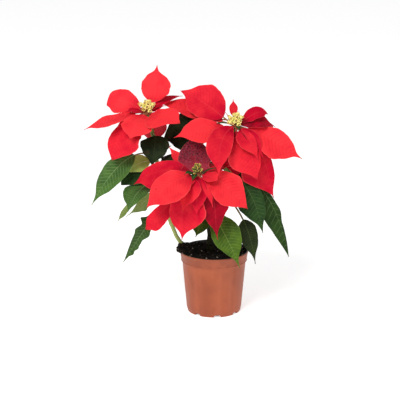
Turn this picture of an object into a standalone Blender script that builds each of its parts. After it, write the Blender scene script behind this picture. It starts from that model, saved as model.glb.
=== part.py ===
"""A red poinsettia with three flower heads, growing in a thin plastic nursery pot.

The frame has +Z up, the origin in the middle of the pot's base, and -Y towards the viewer.
Tables are in millimetres and degrees. Meshes are built in metres.
"""

import math
from dataclasses import dataclass

import bpy
from mathutils import Vector

MM = 0.001
GAP = 0.3

# Driving dimensions of the pot
POT_HEIGHT = 110.0
RIM_RADIUS = 60.0
FOOT_RADIUS = 47.0
POT_WALL = 1.8
RIM_BAND = 18.0
BAND_STEP = 1.6
BAND_SETBACK = 1.2
BASE_THICKNESS = 2.4
POT_SIDES = 40
POT_SMOOTH_BELOW = 35
DRAIN_HOLES = 8
DRAIN_WIDTH = 13.0
DRAIN_HEIGHT = 4.5
DRAIN_DEPTH = 11.0

# Driving dimensions of the soil
SOIL_LEVEL = 106.0
SOIL_LUMPS = 1.3
SOIL_HEAP = 14.5
SOIL_SPILL = 9.0
SOIL_SECTORS = 32
SOIL_RINGS = 10
HOLE_CLEARANCE = 0.7
HOLE_SIDES = 12
HOLE_TOP = 133.0

# Driving dimensions shared by every leaf and bract
BLADE_THICKNESS = 0.8
STALK_RADIUS = 1.5
STALK_TAPER = 0.6
STALK_END = 1 / 6
LONG_STALK = 0.2
SHOULDER = 0.6
PINCH_START = 0.5
PINCH_LENGTH = 0.32
BEZIER_REACH = 0.38

# Driving dimensions of the stem top that each flower head's bracts grow from
CORE_RADIUS = 5.5
CORE_DROP = 10.0
CORE_SIDES = 10

# Middle of each flower head
HEADS = {
    "left": (-115, 15, 361),
    "right": (36, -5, 342),
    "lower": (-29, -70, 272),
}


@dataclass(frozen=True)
class Blade:
    """One leaf or bract. A bract's tip is given from its flower head, a leaf's from the origin.

    Rise and fall are the midrib's slopes at its two ends, and face turns the blade about it. Drip narrows
    the tip. Each lobe is a hand (-1 left, 1 right), a place along the blade, a height and a spread.
    """

    tip: tuple
    width: float
    rise: float = 20
    fall: float = -30
    face: float = 0
    swing: float = 0
    stalk: float = 0.14
    widest: float = 0.42
    point: float = 1.5
    cup: float = 0.1
    skew: float = 0.0
    drip: float = 0.35
    lobes: tuple = ()
    columns: int = 4


BRACTS = {
    "left": (
        Blade(
            tip=(17, 30, 66), width=59, rise=30, fall=85, stalk=0.24, widest=0.45, point=1.1, cup=0.15,
            skew=0.08, drip=0.6,
        ),
        Blade(
            tip=(-71, 32, -5), width=48, rise=24, fall=-50, face=50, widest=0.6, point=0.8, skew=-0.1,
            drip=0,
        ),
        Blade(
            tip=(-107, -25, -36), width=38, rise=0, fall=-27, face=14, widest=0.58, point=1.6, skew=-0.57,
        ),
        Blade(
            tip=(-26, -70, -42), width=53, rise=-12, fall=-50, face=12, widest=0.64, point=1.2, skew=-0.14,
        ),
        Blade(
            tip=(-59, -36, -86), width=66, rise=-12, fall=-80, face=20, widest=0.62, point=0.9, skew=-0.5,
            drip=0.1,
        ),
        Blade(tip=(57, -55, -18), width=63, rise=0, fall=-28, face=-24, widest=0.5, point=0.8, skew=0.42),
        Blade(tip=(61, 35, 11), width=17, rise=33, fall=-6, face=-25, columns=2),
        Blade(tip=(32, 2, 0), width=16, rise=12, fall=-10, face=-20, columns=2),
        Blade(tip=(26, -2, 1), width=10, rise=10, fall=-5, columns=2),
        Blade(tip=(-36, -16, -7), width=26, rise=10, fall=-15, face=10, columns=2),
        Blade(tip=(8, 34, -78), width=52, rise=-20, fall=-85, widest=0.5, columns=2),
        Blade(tip=(-6, 72, -30), width=46, rise=10, fall=-45, columns=2),
    ),
    "right": (
        Blade(
            tip=(-94, 35, 43), width=67, rise=30, fall=15, face=45, stalk=0.2, widest=0.46, point=1.0,
            skew=0.06,
        ),
        Blade(tip=(-136, 46, 21), width=50, rise=13, fall=6, face=25, widest=0.5, skew=0.25),
        Blade(tip=(-104, -45, -21), width=52, rise=-9, fall=-15, face=40, widest=0.5, skew=-0.05),
        Blade(tip=(-4, 20, 31), width=15, rise=25, fall=80, stalk=0.4, widest=0.5, columns=2),
        Blade(tip=(-18, 5, 12), width=9, fall=40, columns=2),
        Blade(tip=(56, 25, 4), width=28, rise=24, fall=-40, face=-32, widest=0.58, point=0.8),
        Blade(tip=(69, 22, -18), width=42, rise=12, fall=-40, face=-25, stalk=0.06, widest=0.5),
        Blade(
            tip=(113, -15, -65), width=57, rise=-14, fall=-34, face=-45, widest=0.55, point=1.3, skew=0.2,
            drip=0.5,
        ),
        Blade(tip=(37, -45, -60), width=32, rise=-20, fall=-65, face=-20, skew=0.4),
        Blade(tip=(46, -35, -59), width=24, rise=-15, fall=-60, face=-30, columns=2),
        Blade(tip=(36, -47, -93), width=56, rise=-34, fall=-70, face=-25, widest=0.56, point=1.0, skew=0.5),
        Blade(tip=(66, -12, -134), width=58, rise=-28, fall=-75, face=-65, widest=0.6, skew=0.6, drip=0.2),
        Blade(
            tip=(-29, -80, -80), width=44, rise=-10, fall=-75, face=20, swing=-25, stalk=0.05, widest=0.5,
            skew=0.1,
        ),
        Blade(tip=(1, -8, -97), width=64, rise=-30, fall=-89, face=-35, widest=0.55, point=0.8),
        Blade(tip=(4, 75, -30), width=50, rise=8, fall=-50, columns=2),
        Blade(tip=(70, 62, -40), width=48, rise=5, fall=-50, columns=2),
    ),
    "lower": (
        Blade(
            tip=(-107, 25, -33), width=61, rise=16, fall=-42, face=40, stalk=0.08, widest=0.5, point=1.2,
            skew=-0.35,
        ),
        Blade(
            tip=(-84, -35, -57), width=73, rise=2, fall=-45, face=22, stalk=0.08, widest=0.5, point=1.3,
            skew=-0.26, drip=0.2,
        ),
        Blade(tip=(-27, -30, -40), width=26, rise=-10, fall=-60, point=1.0, columns=2),
        Blade(tip=(-24, -35, -64), width=38, rise=-12, fall=-75, face=10, skew=-0.3),
        Blade(tip=(-26, -15, -119), width=62, rise=-30, fall=-85, face=50, widest=0.56, skew=-0.32),
        Blade(
            tip=(-87, 0, -105), width=32, rise=-47, fall=-48, face=60, stalk=0.35, widest=0.75, point=0.7,
            skew=-0.2,
        ),
        Blade(
            tip=(34, -15, -118), width=44, rise=-30, fall=-80, face=-60, skew=0.12,
            lobes=((-1, 0.5, 5, 0.07), (1, 0.5, 5, 0.07)),
        ),
        Blade(tip=(26, -35, -57), width=14, rise=-15, fall=-65, face=-20, columns=2),
        Blade(tip=(33, -21, -15), width=27, rise=5, face=-25, stalk=0.2, widest=0.6, point=0.7, columns=2),
        Blade(
            tip=(84, -10, -66), width=66, rise=0, fall=-48, face=-40, widest=0.5, point=1.2, skew=0.14,
            drip=0.1,
        ),
        Blade(
            tip=(-7, 45, 55), width=58, fall=65, stalk=0.06, widest=0.4,
            lobes=(
                (-1, 0.08, 10, 0.07), (-1, 0.22, -3, 0.06), (1, 0.06, 12, 0.07), (1, 0.22, -3, 0.06),
            ),
        ),
        Blade(tip=(-51, 60, 27), width=20, rise=12, fall=30, face=50, columns=2),
        Blade(tip=(60, 50, -10), width=48, rise=10, columns=2),
        Blade(tip=(-1, -29, -74), width=36, rise=-20, fall=-80, stalk=0.04, columns=2),
    ),
}

# Cups in the middle of each flower head: how many, half their spread across and in depth
CYATHIA = {
    "left": (12, 15, 12),
    "right": (13, 15, 14),
    "lower": (8, 9.5, 9),
}
CLUSTER_LEAN = 48
CLUSTER_SIDES = 10
CLUSTER_HEIGHT = 12.0
CLUSTER_FALL = 7.0
NECK_RADIUS = 2.6
NECK_HEIGHT = 4.0
NECK_DROP = 2.2
BUD_RADIUS = 3.0
BUD_SIDES = 5
GOLDEN_ANGLE = 137.5

# Centre lines of the stems, bottom to top, with the radius at each point
STEM_SIDES = 8
STEM_STEPS = 2
PETIOLE_GAP = 0.48
STEMS = {
    "left": (
        ((-41.5, 2, 92), 3.3),
        ((-60, 3.2, 124), 3.4),
        ((-68, 6, 138), 3.5),
        ((-84, 12, 183), 3.4),
        ((-97, 17, 250), 3.2),
        ((-105, 18, 308), 3.2),
        ((-115, 15, 345.2), 3.2),
    ),
    "trunk": (
        ((-6, 6, 78), 7.0),
        ((-6, 6, 104), 6.5),
        ((-7, 5, 122), 6.0),
        ((-4, 2, 145), 5.5),
    ),
    "right": (
        ((-6, 4, 132), 5.0),
        ((5, 6, 175), 3.8),
        ((18, 4, 235), 3.5),
        ((31, -1, 295), 3.3),
        ((36, -5, 326.2), 3.3),
    ),
    "lower": (
        ((-6, 3, 132), 4.8),
        ((-11, -14, 165), 3.8),
        ((-17, -38, 210), 3.4),
        ((-26.5, -63, 238), 3.3),
        ((-29, -70, 256.2), 3.3),
    ),
}


@dataclass(frozen=True)
class Leaf:
    """A green leaf: the stem that carries it, the height where its petiole leaves, and its blade."""

    name: str
    stem: str
    height: float
    blade: Blade


LEAVES = (
    Leaf(
        "leaf_heart", "left", 315,
        Blade(
            tip=(-106, -25, 267), width=49, rise=-5, fall=-80, swing=25, stalk=0.2, widest=0.36, point=0.9,
        ),
    ),
    Leaf(
        "leaf_left_large", "left", 276,
        Blade(
            tip=(-210, -25, 197), width=48, rise=22, fall=-58, face=33, stalk=0.26, point=1.4, skew=-0.12,
        ),
    ),
    Leaf(
        "leaf_left_pale", "left", 264,
        Blade(
            tip=(-152, 2, 250), width=34, rise=12, face=40, stalk=0.15, widest=0.5, point=0.8, drip=0,
            columns=2,
        ),
    ),
    Leaf(
        "leaf_left_dark", "left", 250,
        Blade(
            tip=(-160, -8, 228), width=46, rise=-5, fall=-45, face=25, stalk=0.1, widest=0.5, point=0.8,
            skew=-0.2, drip=0,
        ),
    ),
    Leaf(
        "leaf_left_middle", "left", 228,
        Blade(
            tip=(-146, -62, 195), width=50, rise=16, fall=-60, stalk=0.25, widest=0.45, point=1.2,
            skew=0.12,
        ),
    ),
    Leaf(
        "leaf_left_under", "left", 205,
        Blade(
            tip=(-152, -25, 176), width=44, rise=10, fall=-25, face=-60, stalk=0.1, widest=0.33, point=1.8,
            skew=0.35,
        ),
    ),
    Leaf(
        "leaf_left_low", "left", 190,
        Blade(
            tip=(-157, -30, 96), width=23, rise=-45, fall=-50, face=35, stalk=0.1, widest=0.4, point=1.1,
            skew=0.05, drip=0,
            lobes=(
                (1, 0.26, 7, 0.04), (1, 0.35, -2, 0.04), (1, 0.47, 3, 0.05), (-1, 0.45, 4, 0.06),
                (-1, 0.57, -2, 0.04), (-1, 0.72, 3, 0.04), (-1, 0.83, 4, 0.04),
            ),
        ),
    ),
    Leaf(
        "leaf_left_tip", "left", 214,
        Blade(
            tip=(-167, -10, 163), width=14, rise=5, fall=-60, face=20, stalk=0.3, widest=0.72, skew=-0.3,
            columns=2,
        ),
    ),
    Leaf(
        "leaf_right_dark", "right", 254,
        Blade(
            tip=(83, -45, 153), width=50, rise=-22, fall=-75, face=-30, stalk=0.08, widest=0.5, point=1.2,
            skew=0.25,
        ),
    ),
    Leaf(
        "leaf_right_far", "right", 240,
        Blade(
            tip=(128, -40, 109), width=38, rise=10, fall=-70, face=-35, swing=30, stalk=0.12, widest=0.45,
            point=1.1, skew=0.58, drip=0, lobes=((-1, 0.57, 5, 0.05), (-1, 0.67, -4, 0.05)),
        ),
    ),
    Leaf(
        "leaf_front", "lower", 200,
        Blade(tip=(43, -77, 101), width=50, rise=-46, fall=-62, face=-40, stalk=0.15, skew=-0.08),
    ),
    Leaf(
        "leaf_front_grey", "right", 212,
        Blade(
            tip=(70.4, -48, 98.7), width=34, rise=-28, fall=-80, face=-50, stalk=0.44, widest=0.3,
            skew=0.1,
        ),
    ),
    Leaf(
        "leaf_small", "lower", 178,
        Blade(tip=(-32, -55, 149), width=30, rise=10, fall=-40, face=20, stalk=0.2),
    ),
    Leaf(
        "leaf_between", "right", 306,
        Blade(tip=(-87, 38, 300), width=72, face=55, stalk=0.2, widest=0.6, point=0.8, drip=0.2, columns=2),
    ),
    Leaf(
        "leaf_gap", "lower", 244,
        Blade(
            tip=(-92, 4, 273), width=40, rise=35, fall=-15, face=20, stalk=0.2, widest=0.6, point=0.9,
            columns=2,
        ),
    ),
    Leaf("leaf_back_left", "left", 272, Blade(tip=(-97, 116, 246), width=46, fall=-60, stalk=0.25)),
    Leaf(
        "leaf_back_middle", "right", 218,
        Blade(tip=(-40, 124, 218), width=56, rise=15, fall=-60, stalk=0.25),
    ),
    Leaf("leaf_back_right", "right", 282, Blade(tip=(48, 62, 200), width=80, rise=5, fall=-78, stalk=0.15)),
    Leaf(
        "leaf_back_low", "trunk", 138,
        Blade(tip=(2, 110, 160), width=50, rise=45, fall=-40, stalk=0.3, columns=2),
    ),
)

# Places of the stations along a blade past its stalk, closer where its outline turns fast
STATIONS = (0.0, 0.08, 0.2, 0.35, 0.51, 0.67, 0.83, 1.0)
LOBE_STEP = 0.03


def clear_scene():
    for item in list(bpy.data.objects):
        bpy.data.objects.remove(item, do_unlink=True)


def material(name, colour, roughness):
    made = bpy.data.materials.new(name)
    made.use_nodes = True
    shader = made.node_tree.nodes["Principled BSDF"]
    shader.inputs["Base Color"].default_value = (*colour, 1)
    shader.inputs["Roughness"].default_value = roughness
    shader.inputs["Metallic"].default_value = 0
    return made


def object_from(name, points, faces, finish=None):
    """An object from points in millimetres."""
    mesh = bpy.data.meshes.new(name)
    mesh.from_pydata([tuple(c * MM for c in point) for point in points], [], faces)
    made = bpy.data.objects.new(name, mesh)
    bpy.context.scene.collection.objects.link(made)
    if finish:
        mesh.materials.append(finish)
    return made


def cap_triangles(size):
    """Triangles that close a ring, in bands from one side of it to the other."""
    faces = []
    for a in range((size - 1) // 2):
        b, c, d = a + 1, size - 2 - a, size - 1 - a
        faces += [(a, b, c), (a, c, d)] if b < c else [(a, b, d)]
    return faces


def closed_rings(rings):
    """Points and triangles of a tube through rings of equal size, closed at both ends."""
    size = len(rings[0])
    points = [point for ring in rings for point in ring]
    faces = []
    for i in range(len(rings) - 1):
        for j in range(size):
            a = i * size + j
            b = i * size + (j + 1) % size
            c = b + size
            d = a + size
            faces += [(a, b, c), (a, c, d)] if mirrored_cell(j, size) else [(a, b, d), (b, c, d)]
    last = (len(rings) - 1) * size
    faces += [(a, c, b) for a, b, c in cap_triangles(size)]
    faces += [(last + a, last + b, last + c) for a, b, c in cap_triangles(size)]
    return points, faces


def mirrored_cell(j, size):
    """True on the lower face, so that both faces of a blade are split along the same diagonals."""
    return j >= size // 2


def heading_of(vector):
    flat = Vector((vector.x, vector.y, 0))
    return flat.normalized() if flat.length > 1e-6 else Vector((0, -1, 0))


def slanted(heading, degrees):
    angle = math.radians(degrees)
    return heading * math.cos(angle) + Vector((0, 0, math.sin(angle)))


def turned(heading, degrees):
    angle = math.radians(degrees)
    x = heading.x * math.cos(angle) - heading.y * math.sin(angle)
    y = heading.x * math.sin(angle) + heading.y * math.cos(angle)
    return Vector((x, y, 0))


def bezier(corners, t):
    a, b, c, d = corners
    u = 1 - t
    return a * u**3 + b * 3 * u * u * t + c * 3 * u * t * t + d * t**3


def bezier_slope(corners, t):
    a, b, c, d = corners
    u = 1 - t
    return ((b - a) * u * u + (c - b) * 2 * u * t + (d - c) * t * t).normalized()


def midrib_of(blade, root, tip):
    """Corners of the midrib's curve, and its heading seen from above."""
    heading = heading_of(tip - root)
    reach = (tip - root).length * BEZIER_REACH
    start = slanted(turned(heading, blade.swing), blade.rise)
    end = slanted(turned(heading, -blade.swing), blade.fall)
    return (root, root + start * reach, tip - end * reach, tip), heading


def frame_at(blade, corners, heading, t):
    """The midrib's point, and the directions to the blade's right and out of its upper face."""
    along = bezier_slope(corners, t) if t > 0 else heading
    level = Vector((heading.y, -heading.x, 0))
    up = level.cross(along).normalized()
    right = along.cross(up)
    angle = math.radians(blade.face)
    side = right * math.cos(angle) + up * math.sin(angle)
    return bezier(corners, t), side, up * math.cos(angle) - right * math.sin(angle)


def half_width(blade, s, hand):
    """Width from the midrib to the edge on one hand, at share s of the length past the stalk."""
    past = max(0.0, (s - blade.widest) / (1 - blade.widest))
    if s < blade.widest:
        share = math.sin(math.pi / 2 * s / blade.widest) ** SHOULDER
    else:
        share = max(0.0, math.cos(math.pi / 2 * past)) ** blade.point
    pinch = min(1.0, max(0.0, (past - PINCH_START) / PINCH_LENGTH))
    half = blade.width / 2 * share * (1 - blade.drip * pinch * pinch * (3 - 2 * pinch))
    for lobe_hand, place, height, spread in blade.lobes:
        if lobe_hand == hand:
            half += height * math.exp(-(((s - place) / spread) ** 2))
    return half


def blade_ring(blade, corners, heading, t):
    """The loop of points round the blade at share t: the upper face, then the lower one."""
    s = max(0.0, (t - blade.stalk) / (1 - blade.stalk))
    middle, side, up = frame_at(blade, corners, heading, t)
    stalk = STALK_RADIUS * (1 - s) ** 2
    upper, lower = [], []
    for k in range(blade.columns + 1):
        u = 2 * k / blade.columns - 1
        half = half_width(blade, s, 1 if u > 0 else -1)
        lift = blade.cup * half * u * u
        half = max(half, STALK_RADIUS * (1 - STALK_TAPER * s))
        place = middle + side * (half * (u + blade.skew * u * u)) + up * lift
        round_off = math.sqrt(1 - 0.85 * u * u)
        ridge = 1 if s == 0 or k * 2 == blade.columns else 0
        upper.append(place + up * max(BLADE_THICKNESS / 2, stalk * round_off * max(0, 1 - s / STALK_END)))
        lower.append(place - up * max(BLADE_THICKNESS / 2, stalk * round_off * ridge))
    return upper + lower[::-1]


def blade_places(blade):
    """Shares of the midrib's length where the blade has a ring: along its stalk, and past it."""
    shares = list(STATIONS)
    for _, place, _, _ in blade.lobes:
        if min(abs(place - share) for share in shares) > LOBE_STEP:
            shares.append(place)
    stalk = [0.0, blade.stalk / 2] if blade.stalk >= LONG_STALK else [0.0]
    return stalk + [blade.stalk + (1 - blade.stalk) * share for share in sorted(shares)]


def blade_object(name, blade, root, tip, finish=None):
    corners, heading = midrib_of(blade, root, tip)
    rings = [blade_ring(blade, corners, heading, t) for t in blade_places(blade)]
    return object_from(name, *closed_rings(rings), finish)


def smooth_line(points, steps):
    """A smooth curve through (point, radius) pairs, with steps places in each stretch."""
    line = []
    for i in range(len(points) - 1):
        quad = [points[min(max(j, 0), len(points) - 1)] for j in (i - 1, i, i + 1, i + 2)]
        (a, ra), (b, rb), (c, rc), (d, rd) = [(Vector(p), r) for p, r in quad]
        for k in range(steps):
            t = k / steps
            tangent_in, tangent_out = (c - a) / 2, (d - b) / 2
            place = (
                b * (2 * t**3 - 3 * t * t + 1)
                + tangent_in * (t**3 - 2 * t * t + t)
                + c * (3 * t * t - 2 * t**3)
                + tangent_out * (t**3 - t * t)
            )
            line.append((place, rb + (rc - rb) * t))
    line.append((Vector(points[-1][0]), points[-1][1]))
    return line


def tube_object(name, line, sides, finish=None):
    """A round tube along (point, radius) pairs, with its first and last ring level."""
    rings = []
    for i, (place, radius) in enumerate(line):
        inner = 0 < i < len(line) - 1
        along = (line[i + 1][0] - line[i - 1][0]).normalized() if inner else Vector((0, 0, 1))
        side = along.cross(Vector((0, 1, 0))).normalized()
        other = along.cross(side)
        angles = [2 * math.pi * k / sides for k in range(sides)]
        rings.append([place + (side * math.cos(a) + other * math.sin(a)) * radius for a in angles])
    return object_from(name, *closed_rings(rings), finish)


def united(base, pieces):
    """The base with every piece joined to it. The pieces are removed."""
    group = bpy.data.collections.new(base.name + "_pieces")
    bpy.context.scene.collection.children.link(group)
    for piece in pieces:
        bpy.context.scene.collection.objects.unlink(piece)
        group.objects.link(piece)
    join = base.modifiers.new("Join", "BOOLEAN")
    join.operand_type = "COLLECTION"
    join.collection = group
    join.operation = "UNION"
    join.solver = "EXACT"
    apply_modifiers(base)
    for piece in pieces:
        bpy.data.objects.remove(piece, do_unlink=True)
    bpy.data.collections.remove(group)
    return base


def apply_modifiers(item):
    bpy.context.view_layer.update()
    graph = bpy.context.evaluated_depsgraph_get()
    mesh = bpy.data.meshes.new_from_object(item.evaluated_get(graph))
    item.modifiers.clear()
    item.data = mesh


def cut(item, cutters):
    """Takes every cutter out of the item, and removes the cutters."""
    for cutter in cutters:
        cutter.hide_render = True
        cutter.display_type = "WIRE"
        hole = item.modifiers.new("Cut", "BOOLEAN")
        hole.object = cutter
        hole.operation = "DIFFERENCE"
        hole.solver = "EXACT"
    apply_modifiers(item)
    for cutter in cutters:
        bpy.data.objects.remove(cutter, do_unlink=True)
    return item


def turned_object(name, profile, sides, finish=None):
    """A solid turned about Z from (radius, height) pairs that run from the axis round to the axis."""
    points, rows = [], []
    for radius, height in profile:
        if radius == 0:
            rows.append([len(points)])
            points.append((0, 0, height))
            continue
        rows.append(list(range(len(points), len(points) + sides)))
        angles = [2 * math.pi * k / sides for k in range(sides)]
        points += [(radius * math.cos(a), radius * math.sin(a), height) for a in angles]
    faces = []
    for lower, upper in zip(rows, rows[1:]):
        for k in range(sides):
            n = (k + 1) % sides
            if len(lower) == 1:
                faces.append((lower[0], upper[n], upper[k]))
            elif len(upper) == 1:
                faces.append((lower[k], lower[n], upper[0]))
            else:
                faces.append((lower[k], lower[n], upper[n], upper[k]))
    return object_from(name, points, faces, finish)


def wall_radius(height):
    """Outer radius of the pot's plain wall."""
    top = RIM_RADIUS - BAND_STEP - BAND_SETBACK
    return FOOT_RADIUS + (top - FOOT_RADIUS) * height / POT_HEIGHT


def pot_profile():
    band_foot = POT_HEIGHT - RIM_BAND
    return (
        (0, 0),
        (FOOT_RADIUS - 1.5, 0),
        (FOOT_RADIUS, 1.5),
        (wall_radius(band_foot - 1.6), band_foot - 1.6),
        (wall_radius(band_foot) + BAND_STEP, band_foot),
        (RIM_RADIUS - 0.8, POT_HEIGHT - 3),
        (RIM_RADIUS, POT_HEIGHT - 1.2),
        (RIM_RADIUS - 0.4, POT_HEIGHT),
        (RIM_RADIUS - 1.8, POT_HEIGHT),
        (RIM_RADIUS - 2.6, POT_HEIGHT - 2),
        (wall_radius(band_foot) - POT_WALL + 0.4, band_foot),
        (FOOT_RADIUS - POT_WALL, BASE_THICKNESS),
        (0, BASE_THICKNESS),
    )


def drain_cutters():
    """Slots through the foot of the pot, where the wall meets the base."""
    cutters = []
    for k in range(DRAIN_HOLES):
        angle = 2 * math.pi * (k + 0.15) / DRAIN_HOLES
        out = Vector((math.cos(angle), math.sin(angle), 0))
        side = Vector((-out.y, out.x, 0))
        inner, outer = FOOT_RADIUS - DRAIN_DEPTH, FOOT_RADIUS + 4
        corners = []
        for radius in (inner, outer):
            for u, z in ((-0.5, -2), (0.5, -2), (0.36, DRAIN_HEIGHT), (-0.36, DRAIN_HEIGHT)):
                corners.append(out * radius + side * (u * DRAIN_WIDTH) + Vector((0, 0, z)))
        faces = [(3, 2, 1, 0), (4, 5, 6, 7)]
        faces += [(j, (j + 1) % 4, (j + 1) % 4 + 4, j + 4) for j in range(4)]
        cutters.append(object_from(f"drain_{k}", corners, faces))
    return cutters


def make_pot(finish):
    pot = turned_object("pot", pot_profile(), POT_SIDES, finish)
    cut(pot, drain_cutters())
    pot.data.shade_smooth()
    pot.data.set_sharp_from_angle(angle=math.radians(POT_SMOOTH_BELOW))
    return pot


def soil_height(radius, angle):
    """The lumpy top of the soil, heaped a little on the left."""
    x, y = radius * math.cos(angle), radius * math.sin(angle)
    lumps = math.sin(x / 5.1 + 0.7) * math.cos(y / 6.3) + 0.7 * math.sin(y / 3.7 + x / 8.3)
    heap = SOIL_HEAP * math.exp(-(((x + 56) / 24) ** 2) - (y / 30) ** 2)
    return SOIL_LEVEL + SOIL_LUMPS * lumps + heap


def soil_ring(kind, angle):
    """Radius and height of the soil's ring number kind, counted from its bottom to the middle of its top."""
    fit = POT_WALL + GAP + 0.4
    neck = RIM_RADIUS - 4.1
    edge = soil_height(neck, angle)
    over = edge > POT_HEIGHT + 1.5
    spill = SOIL_SPILL * min(1, max(0.0, edge - POT_HEIGHT - 1.5) / 5)
    brim = POT_HEIGHT + 2 * GAP
    rows = (
        (FOOT_RADIUS - fit, BASE_THICKNESS + GAP),
        (wall_radius(SOIL_LEVEL - 16) - fit, SOIL_LEVEL - 16),
        (neck - 1.4, SOIL_LEVEL - 6),
        (neck, min(edge - 0.8, SOIL_LEVEL)),
        (neck + 0.3, brim) if over else (neck - 0.1, edge - 0.4),
        (neck + spill, brim + 0.4) if over else (neck - 0.3, edge),
        (neck + spill * 0.7 - 2, edge + 0.8),
        (36, soil_height(36, angle)),
        (18, soil_height(18, angle)),
        (5, soil_height(5, angle)),
    )
    return rows[kind]


def make_soil(finish):
    """Soil that fills the pot and spills a little over the rim on the left."""
    angles = [2 * math.pi * k / SOIL_SECTORS for k in range(SOIL_SECTORS)]
    rings = []
    for kind in range(SOIL_RINGS):
        pairs = [(angle, *soil_ring(kind, angle)) for angle in angles]
        rings.append([(r * math.cos(a), r * math.sin(a), z) for a, r, z in pairs])
    return object_from("soil", *closed_rings(rings), finish)


def hole_cutters():
    """A straight hole round the buried part of each stem, which stands on its bottom."""
    cutters = []
    for name in ("left", "trunk"):
        (foot, radius), (top, _) = [(Vector(place), r) for place, r in STEMS[name][:2]]
        along = (top - foot) / (top.z - foot.z)
        ends = (foot - along * GAP, foot + along * (HOLE_TOP - foot.z))
        line = [(end, radius + HOLE_CLEARANCE) for end in ends]
        cutters.append(tube_object("hole_" + name, line, HOLE_SIDES))
    return cutters


def make_stems(finish):
    tube_object("stem_left", smooth_line(STEMS["left"], STEM_STEPS), STEM_SIDES, finish)
    trunk = tube_object("stem_main", smooth_line(STEMS["trunk"], STEM_STEPS), STEM_SIDES, finish)
    lines = [smooth_line(STEMS[name], STEM_STEPS) for name in ("right", "lower")]
    united(trunk, [tube_object("branch", line, STEM_SIDES) for line in lines])


def make_bracts(head, finish):
    centre = Vector(HEADS[head])
    core_place = centre - Vector((0, 0, CORE_DROP))
    core = core_object("bracts_" + head, core_place, finish)
    pieces = []
    for number, blade in enumerate(BRACTS[head]):
        tip = centre + Vector(blade.tip)
        root = core_place + heading_of(Vector(blade.tip)) * 2
        pieces.append(blade_object(f"bract_{number}", blade, root, tip))
    return united(core, pieces)


def core_object(name, place, finish):
    """The small rounded top of the stem that the bracts grow from."""
    steps = [math.pi * k / 6 for k in range(1, 6)]
    belt = [(CORE_RADIUS * math.sin(a), -CORE_RADIUS * math.cos(a)) for a in steps]
    core = turned_object(name, [(0, -CORE_RADIUS), *belt, (0, CORE_RADIUS)], CORE_SIDES, finish)
    for vertex in core.data.vertices:
        vertex.co += place * MM
    return core


def stem_place(stem, height):
    """The centre and radius of a stem at a height."""
    line = smooth_line(STEMS[stem], 8)
    for (a, ra), (b, rb) in zip(line, line[1:]):
        if a.z <= height <= b.z:
            share = (height - a.z) / (b.z - a.z)
            return a.lerp(b, share), ra + (rb - ra) * share
    raise ValueError(f"stem {stem} has no height {height}")


def make_leaf(leaf, finish):
    centre, radius = stem_place(leaf.stem, leaf.height)
    above, _ = stem_place(leaf.stem, leaf.height + 1)
    heading = turned(heading_of(Vector(leaf.blade.tip) - centre), leaf.blade.swing)
    lean = (above - centre).dot(heading)
    reach = radius * math.hypot(1, lean) + PETIOLE_GAP + STALK_RADIUS * abs(lean)
    return blade_object(leaf.name, leaf.blade, centre + heading * reach, Vector(leaf.blade.tip), finish)


def ringed_object(name, centre, axis, steps, sides, deep=1.0, finish=None):
    """A solid of rings square to an axis, from (distance, radius) steps, squeezed in depth."""
    along = axis.normalized()
    side = Vector((0, 1, 0.1)).cross(along).normalized()
    other = along.cross(side) * deep
    angles = [2 * math.pi * k / sides for k in range(sides)]
    rings = []
    for distance, radius in steps:
        middle = centre + along * distance
        rings.append([middle + (side * math.cos(a) + other * math.sin(a)) * radius for a in angles])
    return object_from(name, *closed_rings(rings), finish)


def make_cyathia(head, finish):
    """The cluster of small cups in the middle of a flower head, on one rounded base that leans forward."""
    count, wide, deep = CYATHIA[head]
    lean = math.radians(CLUSTER_LEAN)
    axis = Vector((0, -math.sin(lean), math.cos(lean)))
    back = Vector((0, math.cos(lean), math.sin(lean)))
    foot = Vector(HEADS[head]) - Vector((0, 0, CORE_DROP - CORE_RADIUS - GAP))
    centre = foot + Vector((0, 0, NECK_DROP))
    dome = ((1.5, 0.34 * wide), (3.5, 0.6 * wide), (6.5, 0.42 * wide), (7.5, 0.15 * wide))
    base = ringed_object("cyathia_" + head, centre, axis, dome, CLUSTER_SIDES, deep / wide, finish)
    neck = ((0, NECK_RADIUS), (NECK_HEIGHT, NECK_RADIUS))
    pieces = [ringed_object("neck", foot, Vector((0, 0, 1)), neck, CLUSTER_SIDES)]
    for k in range(count):
        angle = math.radians(GOLDEN_ANGLE * k)
        share = math.sqrt((k + 0.3) / count)
        out = (Vector((wide * math.cos(angle), 0, 0)) + back * deep * math.sin(angle)) * share
        top = centre + out + axis * (CLUSTER_HEIGHT - CLUSTER_FALL * share * share)
        start = centre + out * 0.45 + axis * (3.5 - share)
        pieces.append(cup_object(f"cup_{k}", start, top - start))
    return united(base, pieces)


def cup_object(name, start, axis):
    """One small cup, widest near its mouth."""
    steps = ((0, 0.5 * BUD_RADIUS), (axis.length * 0.75, BUD_RADIUS), (axis.length, 0.6 * BUD_RADIUS))
    return ringed_object(name, start, axis, steps, BUD_SIDES)


def main():
    clear_scene()
    red = material("red_bract", (0.80, 0.02, 0.03), 0.5)
    green = material("green_leaf", (0.06, 0.14, 0.03), 0.45)
    yellow = material("yellow_cyathia", (0.72, 0.55, 0.10), 0.55)
    stem = material("stem", (0.16, 0.22, 0.07), 0.6)
    terracotta = material("terracotta_plastic", (0.46, 0.14, 0.07), 0.45)
    peat = material("soil", (0.012, 0.009, 0.007), 0.95)
    make_pot(terracotta)
    cut(make_soil(peat), hole_cutters())
    make_stems(stem)
    for head in HEADS:
        make_bracts(head, red)
        make_cyathia(head, yellow)
    for leaf in LEAVES:
        make_leaf(leaf, green)


main()
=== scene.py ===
import math
import random
from dataclasses import dataclass

import bpy
import numpy as np
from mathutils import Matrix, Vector, noise


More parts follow.
